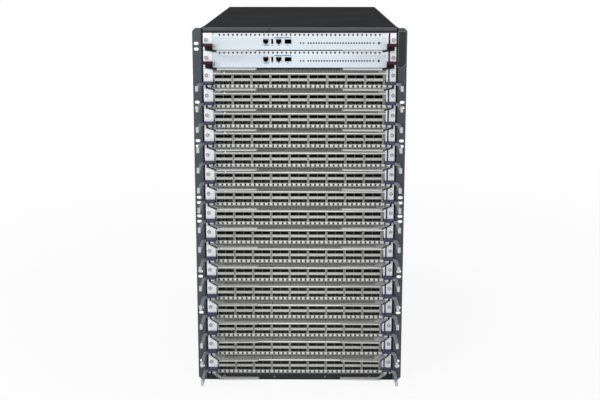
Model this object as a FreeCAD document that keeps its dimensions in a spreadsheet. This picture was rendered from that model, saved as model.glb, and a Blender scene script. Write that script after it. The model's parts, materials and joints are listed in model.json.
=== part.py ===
"""Modular chassis switch: a 19-inch rack chassis with two controller cards above sixteen line cards.

Frame: +Z up, +X to the right seen from the front, faces towards -Y, origin at the centre of the base.
A card is built in its own frame: X from its middle, Y from its face to the back, Z from its slot's floor.
"""

import FreeCAD, Part
import os
import re
import Sketcher

LINE_CARDS = 16
CONTROLLERS = 2
PORT_GROUPS = 9
LAMPS_PER_GROUP = 4
VENT_SLOTS = 60
VENT_HOLES = 37
HEAT_SINKS = 3
FINS = 9
REAR_CONNECTORS = 6
REAR_COLUMNS = 3
REAR_ROWS = 2
SUPPLIES = 4
RACK_UNITS_WITH_SLOTS = (1, 4, 6, 9, 10, 13, 15, 18)

# Driving dimensions in millimetres and degrees; every size below is worked out from these.
SIZES = {
    # chassis
    "body_width": 440.0,
    "body_depth": 850.0,
    "wall_gauge": 2.0,
    "line_pitch": 45.7,
    "controller_pitch": 40.0,
    "sill_height": 15.8,
    "sill_depth": 12.0,
    "lip_height": 11.0,
    "lip_depth": 10.0,
    "lip_bright": 6.0,
    "lip_setback": 1.5,
    "lip_seam_place": -68.0,
    "lip_seam_width": 0.8,
    "rail_width": 14.0,
    "rail_gauge": 1.5,
    "rail_rise": 0.7,
    "rail_setback": 14.0,
    "sill_screw_radius": 2.2,
    "sill_screw_head": 1.2,
    "earth_radius": 3.4,
    "earth_bore": 2.0,
    "earth_place": -180.0,
    # rack ears
    "rack_span": 482.6,
    "ear_gauge": 2.0,
    "ear_leg": 45.0,
    "ear_bevel": 7.0,
    "slot_span": 465.1,
    "slot_length": 11.0,
    "slot_height": 7.0,
    "slot_pair_gap": 12.7,
    "rack_unit": 44.45,
    "rack_margin": 18.95,
    "plate_width": 19.0,
    "plate_height": 82.0,
    "plate_gauge": 1.2,
    "plate_bevel": 9.0,
    "plate_top_gap": 7.5,
    # cards
    "card_width": 434.0,
    "card_depth": 500.0,
    "card_gap": 0.25,
    "slot_floor_gap": 0.3,
    "sheet_gauge": 1.5,
    "block_width": 21.0,
    "block_depth": 12.0,
    "block_proud": 1.5,
    "band_top": 15.9,
    "band_floor": 9.9,
    "band_proud": 16.0,
    "band_back": 6.0,
    "cheek_width": 4.0,
    "stripe_width": 3.6,
    "stripe_inset": 3.2,
    "stripe_gauge": 0.6,
    "captive_radius": 4.6,
    "captive_height": 3.2,
    "captive_slot": 1.2,
    "captive_inset": 6.2,
    "captive_drop": 15.5,
    "tray_gauge": 1.2,
    "tray_side": 22.0,
    "tray_inset": 0.8,
    "board_gauge": 1.6,
    "board_inset": 10.0,
    "standoff_radius": 3.0,
    "sink_width": 84.0,
    "sink_depth": 96.0,
    "sink_base": 4.0,
    "fin_gauge": 2.0,
    "fin_height": 18.0,
    "sink_pitch": 125.0,
    "sink_setback": 130.0,
    "mate_width": 42.0,
    "mate_depth": 22.0,
    "mate_height": 20.0,
    "mate_pitch": 64.0,
    "mate_gap": 0.3,
    # line card face
    "window_floor": 8.7,
    "window_height": 22.5,
    "window_width": 39.0,
    "group_pitch": 42.8,
    "group_shift": -2.0,
    "cage_gap": 0.2,
    "cage_depth": 48.0,
    "port_width": 18.3,
    "port_height": 7.5,
    "port_depth": 44.0,
    "port_web": 1.2,
    "port_floor": 0.4,
    "lamp_side": 3.0,
    "lamp_place": 5.1,
    "lamp_pitch": 10.7,
    "lip_floor": 31.3,
    "card_lip": 3.5,
    "card_lip_proud": 1.2,
    "vent_floor": 35.0,
    "vent_rise": 8.0,
    "vent_back": 9.0,
    "vent_flange": 9.0,
    "vent_slot_width": 4.0,
    "vent_slot_pitch": 6.0,
    "vent_slot_margin": 1.3,
    # controller face
    "control_fold": 31.0,
    "control_seam": 28.0,
    "control_rise": 8.4,
    "control_back": 3.4,
    "control_flange": 12.0,
    "control_hole": 3.0,
    "control_hole_pitch": 10.0,
    "control_hole_rise": 4.2,
    "jack_width": 12.2,
    "jack_height": 11.6,
    "jack_depth": 16.0,
    "jack_wall": 1.6,
    "jack_one_place": -76.0,
    "jack_two_place": -47.0,
    "usb_width": 4.8,
    "usb_place": -61.5,
    "small_form_width": 14.8,
    "small_form_height": 9.6,
    "small_form_depth": 48.0,
    "small_form_place": -26.0,
    "connector_place": 20.6,
    "button_radius": 2.2,
    "button_gap": 0.4,
    "button_proud": 1.4,
    "button_length": 6.0,
    "button_place": 178.0,
    "button_rise": 17.1,
    # ejector lever
    "pivot_place": 207.5,
    "pivot_proud": 5.0,
    "hub_radius": 4.2,
    "hub_bore": 1.8,
    "pin_radius": 1.5,
    "lever_floor": 0.8,
    "lever_gauge": 3.4,
    "lever_root_top": 9.4,
    "lever_root_length": 11.5,
    "lever_crank_out": 22.0,
    "lever_arm_proud": 26.0,
    "lever_arm_depth": 12.0,
    "lever_tip_depth": 9.5,
    "lever_reach": 112.5,
    # cable hook
    "hook_gauge": 6.0,
    "hook_flare": 4.5,
    "hook_reach": 85.0,
    "hook_drop": 5.3,
    "hook_depth": 5.8,
    "hook_tip_rise": 12.0,
    "hook_tip_gauge": 3.6,
    "hook_root_gap": 4.0,
    "hook_bend": 24.0,
    # midplane and rear modules
    "midplane_gauge": 3.2,
    "midplane_margin": 6.0,
    "rear_gap": 1.0,
    "supply_height": 92.0,
    "module_wall": 2.0,
    "module_depth": 300.0,
    "fan_radius": 50.0,
    "fan_recess": 6.0,
    "fan_hub_radius": 19.0,
    "fan_pitch": 160.0,
    "grip_width": 70.0,
    "grip_proud": 24.0,
    "grip_gauge": 6.0,
    "supply_inlet": 28.0,
}
SILL_SCREWS = (-191.5, -60.0, 60.5, 165.0)
FUNCTIONS = {"sqrt", "sin", "cos", "tan"}

FRONT = "(-body_depth / 2)"
RACK_HEIGHT = f"(sill_height + {LINE_CARDS} * line_pitch + {CONTROLLERS} * controller_pitch + lip_height)"
INNER = "(body_width / 2 - wall_gauge)"
FACE_HALF = "(card_width / 2 - block_width)"
SLOPE = "(vent_rise / vent_back)"
CONTROL_SLOPE = "(control_rise / control_back)"
TRAY_HALF = "(card_width / 2 - tray_inset)"
TRAY_FLOOR = "(rail_rise + slot_floor_gap)"
BOARD_TOP = "(window_floor + cage_gap)"
BOARD_FLOOR = f"({BOARD_TOP} - board_gauge)"
MIDPLANE_FACE = f"({FRONT} + card_depth + mate_gap)"
REAR_FACE = "(body_depth / 2)"

doc = FreeCAD.newDocument("chassis_switch")
sheet = doc.addObject("Spreadsheet::Sheet", "sizes")
for line, (alias, value) in enumerate(SIZES.items(), start=1):
    sheet.set(f"A{line}", alias)
    sheet.set(f"B{line}", str(value))
    sheet.setAlias(f"B{line}", alias)
doc.recompute()


def cell(formula):
    """A formula in the names of the sheet's cells, as an expression that FreeCAD follows."""
    def swap(match):
        return match[0] if match[0] in FUNCTIONS else "sizes." + match[0]

    return re.sub(r"[a-z_][a-z_0-9]*", swap, str(formula))


def place(obj, x=0, y=0, z=0):
    for axis, formula in (("x", x), ("y", y), ("z", z)):
        obj.setExpression("Placement.Base." + axis, cell(formula))
    return obj


def box(name, low, size):
    """A block with its lowest corner at low."""
    made = doc.addObject("Part::Box", name)
    for side, formula in zip(("Length", "Width", "Height"), size):
        made.setExpression(side, cell(formula))
    return place(made, *low)


def rod(name, radius, length, at, along="z"):
    """A cylinder that starts at the point given and runs along +Z or +Y."""
    made = doc.addObject("Part::Cylinder", name)
    made.setExpression("Radius", cell(radius))
    made.setExpression("Height", cell(length))
    if along == "y":
        turn = FreeCAD.Rotation(FreeCAD.Vector(1, 0, 0), -90)
        made.Placement = FreeCAD.Placement(FreeCAD.Vector(), turn)
    return place(made, *at)


def group(name, pieces, at=(0, 0, 0)):
    """Separate solids kept together, or a copy of one piece, placed as a whole."""
    made = doc.addObject("Part::Compound", name)
    made.Links = pieces
    return place(made, *at)


def weld(name, pieces):
    made = doc.addObject("Part::MultiFuse", name)
    made.Shapes = pieces
    return made


def cut(name, base, tools):
    made = doc.addObject("Part::Cut", name)
    made.Base = base
    made.Tool = tools[0] if len(tools) == 1 else group(name + "_tools", tools)
    return made


def mirror(name, piece):
    """The piece on the other side of the plane X = 0."""
    made = doc.addObject("Part::Mirroring", name)
    made.Source = piece
    made.Normal = FreeCAD.Vector(1, 0, 0)
    return made


def profile(name, role, points, length):
    """A body padded from a closed outline on one of its own origin planes."""
    body = doc.addObject("PartDesign::Body", name)
    sketch = body.newObject("Sketcher::SketchObject", name + "_outline")
    plane = next(f for f in body.Origin.OriginFeatures if f.Role == role)
    sketch.AttachmentSupport = [(plane, "")]
    sketch.MapMode = "FlatFace"
    corners = Part.makeCircle(50).discretize(len(points) + 1)
    for start, end in zip(corners, corners[1:]):
        sketch.addGeometry(Part.LineSegment(start, end), False)
    for number, point in enumerate(points):
        before = number - 1 if number else len(points) - 1
        sketch.addConstraint(Sketcher.Constraint("Coincident", before, 2, number, 1))
        for kind, formula in zip(("DistanceX", "DistanceY"), point):
            index = sketch.addConstraint(Sketcher.Constraint(kind, -1, 1, number, 1, 1.0))
            label = f"{kind[-1].lower()}_{number}"
            sketch.renameConstraint(index, label)
            sketch.setExpression("Constraints." + label, cell(formula))
    pad = body.newObject("PartDesign::Pad", name + "_pad")
    pad.Profile = sketch
    pad.setExpression("Length", cell(length))
    return body


def spread(count, pitch, middle=0):
    """The places of a row of count things about its middle."""
    return [f"({middle} + {number - (count - 1) / 2} * {pitch})" for number in range(count)]


# ---------------------------------------------------------------- chassis

def line_floor(number):
    """The floor of line card slot 1 to 16, counted from the top."""
    return f"(sill_height + {LINE_CARDS - number} * line_pitch)"


def controller_floor(number):
    return f"(sill_height + {LINE_CARDS} * line_pitch + {CONTROLLERS - number} * controller_pitch)"


def guide_rails():
    """A pair of rails for each card's tray."""
    floors = [line_floor(n) for n in range(1, LINE_CARDS + 1)]
    floors += [controller_floor(n) for n in range(1, CONTROLLERS + 1)]
    rails = []
    for number, floor in enumerate(floors):
        for side, x in (("left", f"-{INNER}"), ("right", f"{INNER} - rail_width")):
            low = (x, f"{FRONT} + rail_setback", f"{floor} + rail_rise - rail_gauge")
            size = ("rail_width", "card_depth - rail_setback - mate_depth", "rail_gauge")
            rails.append(box(f"rail_{number}_{side}", low, size))
    return rails


def top_lip():
    """A folded bar under the top cover's front edge, in two lengths with a seam between them."""
    top = f"{RACK_HEIGHT} - lip_bright"
    left_end = "lip_seam_place - lip_seam_width / 2"
    right_end = "lip_seam_place + lip_seam_width / 2"
    back = (f"-{INNER}", f"{FRONT} + lip_setback", f"{RACK_HEIGHT} - lip_height")
    return [
        box("lip_left", (f"-{INNER}", FRONT, top), (f"{left_end} + {INNER}", "lip_depth", "lip_bright")),
        box("lip_right", (right_end, FRONT, top), (f"{INNER} - ({right_end})", "lip_depth", "lip_bright")),
        box("lip_lower", back, (f"2 * {INNER}", "lip_depth - lip_setback", "lip_height - lip_bright")),
    ]


def sill_details():
    """Four screw heads and an earth socket on the sill."""
    middle = "sill_height / 2"
    pieces = [
        rod(f"sill_screw_{number}", "sill_screw_radius", "sill_screw_head",
            (x, f"{FRONT} - sill_screw_head", middle), "y")
        for number, x in enumerate(SILL_SCREWS)
    ]
    at = ("earth_place", f"{FRONT} - sill_screw_head", middle)
    ring = rod("earth_ring", "earth_radius", "sill_screw_head", at, "y")
    bore = rod("earth_hole", "earth_bore", "sill_screw_head", at, "y")
    return pieces + [cut("earth_socket", ring, [bore])]


SHELF_BELOW = "(wall_gauge + supply_height + 2 * rear_gap)"
REAR_BAY = f"(({RACK_HEIGHT} - wall_gauge - {SHELF_BELOW} - wall_gauge * {REAR_ROWS}) / {REAR_ROWS})"
REAR_START = f"({REAR_FACE} - module_depth)"


def shelves():
    """One shelf over the power supplies and one between the module rows."""
    made = []
    for number in range(REAR_ROWS):
        low = (f"-{INNER}", REAR_START, f"{SHELF_BELOW} + {number} * ({REAR_BAY} + wall_gauge)")
        made.append(box(f"shelf_{number}", low, (f"2 * {INNER}", "module_depth", "wall_gauge")))
    return made


def chassis_shell():
    wall = ("wall_gauge", "body_depth", RACK_HEIGHT)
    inside = f"2 * {INNER}"
    pieces = [
        box("wall_left", ("-body_width / 2", FRONT, 0), wall),
        box("wall_right", (INNER, FRONT, 0), wall),
        box("top_cover", (f"-{INNER}", f"{FRONT} + lip_depth", f"{RACK_HEIGHT} - wall_gauge"),
            (inside, "body_depth - lip_depth", "wall_gauge")),
        box("base_pan", (f"-{INNER}", FRONT, 0), (inside, "body_depth", "wall_gauge")),
        box("sill", (f"-{INNER}", FRONT, "wall_gauge"), (inside, "sill_depth", "sill_height - wall_gauge")),
    ]
    return group("chassis_shell", pieces + top_lip() + guide_rails() + shelves() + sill_details())


# ---------------------------------------------------------------- rack ears

def ear_slot_cutters():
    """Round-ended holes in pairs, the pairs centred on the rack units' edges."""
    cutters = []
    straight = "(slot_length - slot_height)"
    front, deep = f"{FRONT} - ear_gauge", "3 * ear_gauge"
    for unit in RACK_UNITS_WITH_SLOTS:
        for step in (-0.5, 0.5):
            rise = f"(rack_margin + {unit} * rack_unit - rack_unit / 2 + {step} * slot_pair_gap)"
            name = f"slot_{unit}_{'low' if step < 0 else 'high'}"
            middle = box(name, (f"slot_span / 2 - {straight} / 2", front, f"{rise} - slot_height / 2"),
                         (straight, deep, "slot_height"))
            ends = [
                rod(f"{name}_end_{number}", "slot_height / 2", deep,
                    (f"slot_span / 2 + {side} * {straight} / 2", front, rise), "y")
                for number, side in enumerate((-1, 1))
            ]
            cutters.append(weld(name + "_cutter", [middle] + ends))
    return cutters


def rack_ears():
    """Two angle brackets and the bare name plate on the right one."""
    edge, root = "(rack_span / 2)", "(body_width / 2)"
    outline = [
        (root, 0), (f"{edge} - ear_bevel", 0), (edge, "ear_bevel"), (edge, f"{RACK_HEIGHT} - ear_bevel"),
        (f"{edge} - ear_bevel", RACK_HEIGHT), (root, RACK_HEIGHT),
    ]
    flange = profile("ear_flange", "XZ_Plane", outline, "ear_gauge")
    place(flange, 0, f"{FRONT} + ear_gauge", 0)
    leg = box("ear_leg_plate", (root, FRONT, 0), ("ear_gauge", "ear_leg", RACK_HEIGHT))
    right = cut("ear_right", weld("ear_angle", [flange, leg]), ear_slot_cutters())
    inner, outer = f"({root} + 1)", f"({root} + 1 + plate_width)"
    top = f"({RACK_HEIGHT} - plate_top_gap)"
    plate_outline = [
        (inner, f"{top} - plate_height"), (f"{outer} - plate_bevel", f"{top} - plate_height"),
        (outer, f"{top} - plate_height + plate_bevel"), (outer, top), (inner, top),
    ]
    plate = profile("name_plate", "XZ_Plane", plate_outline, "plate_gauge")
    place(plate, 0, FRONT, 0)
    return group("rack_ears", [right, mirror("ear_left", right), plate])


# ---------------------------------------------------------------- shared card pieces

def end_block(name, height):
    """The pale block at a card's end, from the top of its coloured band up to the card's top."""
    low = (FACE_HALF, "-block_proud", "band_top")
    return box(name, low, ("block_width", "block_depth + block_proud", f"{height} - card_gap - band_top"))


def captive_screw(name, height):
    at = ("card_width / 2 - captive_inset", "-block_proud - captive_height", f"{height} - captive_drop")
    head = rod(name + "_head", "captive_radius", "captive_height", at, "y")
    low = (f"{at[0]} - captive_radius - 1", f"{at[1]} - 1", f"{at[2]} - captive_slot / 2")
    slot = box(name + "_slot", low, ("2 * captive_radius + 2", "2", "captive_slot"))
    return cut(name, head, [slot])


def latch_band(name):
    low = (FACE_HALF, "-band_proud", "band_floor")
    return box(name, low, ("block_width", "band_proud + band_back", "band_top - band_floor"))


def cheek(name):
    """The pale outer wall below the band, beside the lever's root."""
    low = ("card_width / 2 - cheek_width", "-block_proud", "card_gap")
    return box(name, low, ("cheek_width", "block_proud + sheet_gauge", "band_floor - card_gap"))


def lever_pin(name):
    at = ("pivot_place", "-pivot_proud", "lever_floor")
    return rod(name, "pin_radius", "band_floor - lever_floor", at)


def card_ends(kind, height):
    """Blocks, screws, bands, cheeks and lever pins at both ends, and the stripe on the right block."""
    right = [end_block(kind + "_block", height), captive_screw(kind + "_screw", height),
             latch_band(kind + "_band"), cheek(kind + "_cheek"), lever_pin(kind + "_pin")]
    left = [mirror(f"{kind}_left_{number}", piece) for number, piece in enumerate(right)]
    low = (f"{FACE_HALF} + stripe_inset", "-block_proud - stripe_gauge", "band_top")
    stripe = box(kind + "_stripe", low, ("stripe_width", "stripe_gauge", f"{height} - card_gap - band_top"))
    return right + left + [stripe]


def tray(kind, card_floor):
    """A shallow sheet-metal pan that slides on the rails."""
    deep = "card_depth - mate_depth - sheet_gauge"
    side_deep = "card_depth - mate_depth - block_depth - sheet_gauge"
    pan_size = (f"2 * {TRAY_HALF}", deep, "tray_gauge")
    pan = box(kind + "_pan", (f"-{TRAY_HALF}", "sheet_gauge", card_floor), pan_size)
    side_size = ("tray_gauge", side_deep, "tray_side")
    sides = [
        box(f"{kind}_side_{number}", (x, "block_depth + sheet_gauge", card_floor), side_size)
        for number, x in enumerate((f"-{TRAY_HALF}", f"{TRAY_HALF} - tray_gauge"))
    ]
    return weld(kind + "_tray", [pan] + sides)


def board(kind):
    low = (f"-{TRAY_HALF} + board_inset", "sheet_gauge + 3", BOARD_FLOOR)
    size = (f"2 * {TRAY_HALF} - 2 * board_inset", "card_depth - mate_depth - 5", "board_gauge")
    return box(kind + "_board", low, size)


def standoffs(kind, card_floor):
    """Six hexagonal posts between the tray and the board."""
    made = []
    for column, x in enumerate(spread(3, f"({TRAY_HALF} - 2 * board_inset)")):
        for line, y in enumerate(("4 * board_inset", "card_depth - mate_depth - 3 * board_inset")):
            post = doc.addObject("Part::Prism", f"{kind}_post_{column}_{line}")
            post.Polygon = 6
            post.setExpression("Circumradius", cell("standoff_radius"))
            post.setExpression("Height", cell(f"{BOARD_FLOOR} - {card_floor} - tray_gauge"))
            made.append(place(post, x, y, f"{card_floor} + tray_gauge"))
    return made


def heat_sinks(kind):
    base = box(kind + "_sink_base", ("-sink_width / 2", 0, 0), ("sink_width", "sink_depth", "sink_base"))
    step = f"((sink_width - fin_gauge) / {FINS - 1})"
    fins = [
        box(f"{kind}_fin_{number}", (f"-sink_width / 2 + {number} * {step}", 0, "sink_base"),
            ("fin_gauge", "sink_depth", "fin_height"))
        for number in range(FINS)
    ]
    sink = weld(kind + "_sink", [base] + fins)
    return [
        group(f"{kind}_sink_{number}", [sink], (x, "sink_setback", BOARD_TOP))
        for number, x in enumerate(spread(HEAT_SINKS, "sink_pitch"))
    ]


def rear_connectors(kind):
    return [
        box(f"{kind}_mate_{number}", (f"{x} - mate_width / 2", "card_depth - mate_depth - 5", BOARD_TOP),
            ("mate_width", "mate_depth + 5", "mate_height"))
        for number, x in enumerate(spread(REAR_CONNECTORS, "mate_pitch"))
    ]


def card_inside(kind):
    carrier = [tray(kind, TRAY_FLOOR), board(kind)]
    return carrier + standoffs(kind, TRAY_FLOOR) + heat_sinks(kind) + rear_connectors(kind)


# ---------------------------------------------------------------- line cards

def line_panel():
    """One folded sheet: port face with windows, a raised lip, and a vent strip that leans back."""
    lean = f"sqrt(1 + {SLOPE} * {SLOPE})"
    top = "(vent_floor + vent_rise)"
    outline = [
        (0, "card_gap"), (0, "lip_floor"), ("-card_lip_proud", "lip_floor + 0.4"),
        ("-card_lip_proud", "lip_floor + card_lip - 0.4"), (0, "vent_floor"), ("vent_back", top),
        ("vent_back + vent_flange", top), ("vent_back + vent_flange", f"{top} - sheet_gauge"),
        (f"(vent_rise - sheet_gauge + sheet_gauge * {lean}) / {SLOPE}", f"{top} - sheet_gauge"),
        ("sheet_gauge", f"vent_floor + sheet_gauge * {SLOPE} - sheet_gauge * {lean}"),
        ("sheet_gauge", "card_gap"),
    ]
    body = profile("line_sheet", "YZ_Plane", outline, f"2 * {FACE_HALF}")
    place(body, f"-{FACE_HALF}", 0, 0)
    through = ("-1", "sheet_gauge + 2")
    cutters = []
    window = ("window_width", through[1], "window_height")
    for number, x in enumerate(spread(PORT_GROUPS, "group_pitch", "group_shift")):
        low = (f"{x} - window_width / 2", through[0], "window_floor")
        cutters.append(box(f"window_{number}", low, window))
    lamp = ("lamp_side", through[1], "lamp_side")
    for number, x in enumerate(spread(PORT_GROUPS * LAMPS_PER_GROUP, "lamp_pitch", "group_shift")):
        low = (f"{x} - lamp_side / 2", through[0], "lamp_place - lamp_side / 2")
        cutters.append(box(f"lamp_{number}", low, lamp))
    slot_deep = "vent_back - 2 * vent_slot_margin + 0.5"
    slot_tall = "vent_rise - 2 * vent_slot_margin + 0.5"
    for number, x in enumerate(spread(VENT_SLOTS, "vent_slot_pitch")):
        low = (f"{x} - vent_slot_width / 2", "vent_slot_margin", "vent_floor + vent_slot_margin")
        cutters.append(box(f"vent_{number}", low, ("vent_slot_width", slot_deep, slot_tall)))
    return cut("line_panel", body, cutters)


def port_cage():
    """A block of four sockets, two above two."""
    wide = "(window_width - 2 * cage_gap)"
    tall = "(window_height - 2 * cage_gap)"
    outer = box("cage_block", (f"-{wide} / 2", "cage_gap", BOARD_TOP), (wide, "cage_depth", tall))
    floors = (f"{BOARD_TOP} + port_floor", f"{BOARD_TOP} + {tall} - port_floor - port_height")
    pockets = [
        box(f"port_{row}_{column}", (x, 0, z), ("port_width", "port_depth", "port_height"))
        for row, z in enumerate(floors)
        for column, x in enumerate(("-port_web / 2 - port_width", "port_web / 2"))
    ]
    return cut("port_cage", outer, pockets)


def cable_hook():
    """The right-hand hook: a flat bar that flares outwards, falls forwards and ends in an upturned tip."""
    side, half = "hook_gauge", "card_width / 2"
    plan_outline = [
        (half, "-hook_root_gap"), (half, "-band_proud"), (f"{half} + hook_flare", "-hook_bend"),
        (f"{half} + hook_flare", "-hook_reach"), (f"{half} + hook_flare + {side}", "-hook_reach"),
        (f"{half} + hook_flare + {side}", "2 - hook_bend"), (f"{half} + {side} - 0.5", "-hook_root_gap"),
    ]
    plan = profile("hook_plan", "XY_Plane", plan_outline, "band_top + hook_tip_rise")
    root, front = "band_floor", "(band_floor - hook_drop)"
    side_outline = [
        ("-hook_root_gap", root), ("-hook_reach", front), ("-hook_reach", f"{front} + hook_tip_rise"),
        ("hook_tip_gauge - hook_reach", f"{front} + hook_tip_rise"),
        ("hook_tip_gauge - hook_reach", f"{front} + hook_depth"), ("-hook_root_gap", f"{root} + hook_depth"),
    ]
    bar = profile("hook_side", "YZ_Plane", side_outline, "card_width")
    hook = doc.addObject("Part::Common", "hook_right")
    hook.Base, hook.Tool = plan, bar
    return hook


def line_card():
    """The pieces of one line card in its own frame."""
    cage = port_cage()
    cages = [
        group(f"cage_{number}", [cage], (x, 0, 0))
        for number, x in enumerate(spread(PORT_GROUPS, "group_pitch", "group_shift"))
    ]
    hook = cable_hook()
    hooks = [hook, mirror("hook_left", hook)]
    ends = card_ends("line", "line_pitch")
    return group("line_card", [line_panel()] + cages + ends + hooks + card_inside("line"))


# ---------------------------------------------------------------- controller cards

def controller_panel():
    """A folded sheet whose top strip leans back over the flat front, with a row of vent holes."""
    lean = f"sqrt(1 + {CONTROL_SLOPE} * {CONTROL_SLOPE})"
    top = "(control_fold + control_rise)"
    outline = [
        (0, "control_seam"), (0, "control_fold"), ("control_back", top),
        ("control_back + control_flange", top), ("control_back + control_flange", f"{top} - sheet_gauge"),
        (f"(control_rise - sheet_gauge + sheet_gauge * {lean}) / {CONTROL_SLOPE}", f"{top} - sheet_gauge"),
        ("sheet_gauge", f"control_fold + sheet_gauge * {CONTROL_SLOPE} - sheet_gauge * {lean}"),
        ("sheet_gauge", "control_seam"),
    ]
    body = profile("controller_sheet", "YZ_Plane", outline, f"2 * {FACE_HALF}")
    place(body, f"-{FACE_HALF}", 0, 0)
    cutters = []
    hole_size = ("control_hole", "control_back + 2 * sheet_gauge", "control_hole")
    for number, x in enumerate(spread(VENT_HOLES, "control_hole_pitch")):
        low = (f"{x} - control_hole / 2", 0, "control_fold + control_hole_rise - control_hole / 2")
        cutters.append(box(f"hole_{number}", low, hole_size))
    return cut("controller_panel", body, cutters)


SOCKETS = (
    ("jack_one", "jack_width", "jack_height", "jack_depth", "jack_one_place"),
    ("usb", "usb_width", "jack_height", "jack_depth", "usb_place"),
    ("jack_two", "jack_width", "jack_height", "jack_depth", "jack_two_place"),
    ("small_form", "small_form_width", "small_form_height", "small_form_depth", "small_form_place"),
)


def front_plate(name, left, right, floor, top):
    return box(name, (left, 0, floor), (f"{right} - ({left})", "sheet_gauge", f"{top} - ({floor})"))


def controller_front():
    """The flat front below the seam: plates, bars and posts that leave the socket openings between them."""
    edges = [(f"{x} - {wide} / 2", f"{x} + {wide} / 2") for _, wide, _, _, x in SOCKETS]
    first, last = edges[0][0], edges[-1][1]
    floor, top = "connector_place - jack_height / 2", "connector_place + jack_height / 2"
    right_plate = front_plate("front_right_sheet", last, FACE_HALF, "card_gap", "control_seam")
    hole_at = ("button_place", "-1", "button_rise")
    hole = rod("button_hole", "button_radius + button_gap", "sheet_gauge + 2", hole_at, "y")
    made = [
        front_plate("front_left", f"-{FACE_HALF}", first, "card_gap", "control_seam"),
        cut("front_right", right_plate, [hole]),
        front_plate("front_sill", first, last, "card_gap", floor),
        front_plate("front_head", first, last, top, "control_seam"),
    ]
    for number, (before, after) in enumerate(zip(edges, edges[1:])):
        made.append(front_plate(f"front_post_{number}", before[1], after[0], floor, top))
    low = "connector_place - small_form_height / 2"
    high = "connector_place + small_form_height / 2"
    made.append(front_plate("small_form_sill", *edges[-1], floor, low))
    made.append(front_plate("small_form_head", *edges[-1], high, top))
    return made


def sockets():
    """Socket bodies behind the panel, each seated on the board."""
    made = []
    for name, wide, tall, deep, x in SOCKETS:
        low = (f"{x} - {wide} / 2 - jack_wall", "sheet_gauge", BOARD_TOP)
        high = f"connector_place + {tall} / 2 + jack_wall"
        size = (f"{wide} + 2 * jack_wall", f"{deep} + jack_wall", f"{high} - {BOARD_TOP}")
        body = box(name + "_body", low, size)
        space = box(name + "_space", (f"{x} - {wide} / 2", 0, f"connector_place - {tall} / 2"),
                    (wide, f"sheet_gauge + {deep}", tall))
        made.append(cut(name, body, [space]))
    return made


def controller_card():
    switch_low = ("button_place - 2 * button_radius", "button_length", BOARD_TOP)
    switch = box("button_switch", switch_low, ("4 * button_radius", "6", f"button_rise + 4 - {BOARD_TOP}"))
    pieces = [controller_panel(), switch] + controller_front() + sockets()
    ends = card_ends("controller", "controller_pitch")
    return group("controller_card", pieces + ends + card_inside("controller"))


def push_button():
    at = (0, "-button_proud", 0)
    return rod("push_button", "button_radius", "button_length", at, "y")


# ---------------------------------------------------------------- ejector lever

def ejector_lever():
    """The left lever about its pivot: a hub and root block, a cranked plate and a long flat arm."""
    arm = "lever_arm_proud"
    outline = [
        (0, "hub_radius"), ("lever_root_length", "hub_radius"), ("lever_root_length + 1", "-hub_radius - 2"),
        ("lever_crank_out", f"-{arm}"), ("lever_reach", f"-{arm}"),
        ("lever_reach - 2", f"-{arm} - lever_tip_depth"),
        ("lever_crank_out - 2", f"-{arm} - lever_arm_depth"),
        (0, "-2 * hub_radius"),
    ]
    plate = profile("lever_plate", "XY_Plane", outline, "lever_gauge")
    place(plate, 0, 0, "lever_floor")
    tall = "lever_root_top - lever_floor"
    root = box("lever_root", (0, "-hub_radius", "lever_floor"), ("lever_root_length", "2 * hub_radius", tall))
    hub = rod("lever_hub", "hub_radius", tall, (0, 0, "lever_floor"))
    bore = rod("lever_bore", "hub_bore", f"{tall} + 2", (0, 0, "lever_floor - 1"))
    return cut("ejector_lever", weld("lever_blank", [plate, root, hub]), [bore])


# ---------------------------------------------------------------- midplane and rear

def midplane():
    low = (f"-{INNER}", MIDPLANE_FACE, "midplane_margin")
    return box("midplane", low, (f"2 * {INNER}", "midplane_gauge", f"{RACK_HEIGHT} - 2 * midplane_margin"))


def grip(name, x, z):
    """A U-shaped handle on a rear module."""
    post = ("grip_gauge", "grip_proud", "grip_gauge")
    left, right = f"{x} - grip_width / 2", f"{x} + grip_width / 2 - grip_gauge"
    bar_low = (left, f"{REAR_FACE} + grip_proud - grip_gauge", z)
    bar = box(name + "_bar", bar_low, ("grip_width", "grip_gauge", "grip_gauge"))
    posts = [
        box(f"{name}_post_{number}", (at, REAR_FACE, z), post) for number, at in enumerate((left, right))
    ]
    return weld(name, [bar] + posts)


def rear_module(name, low, size):
    """A closed sheet-metal module: an outer box with its inside taken out."""
    outer = box(name + "_outer", low, size)
    inner_low = [f"{at} + module_wall" for at in low]
    inner_size = [f"{side} - 2 * module_wall" for side in size]
    return outer, box(name + "_inner", inner_low, inner_size)


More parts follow.
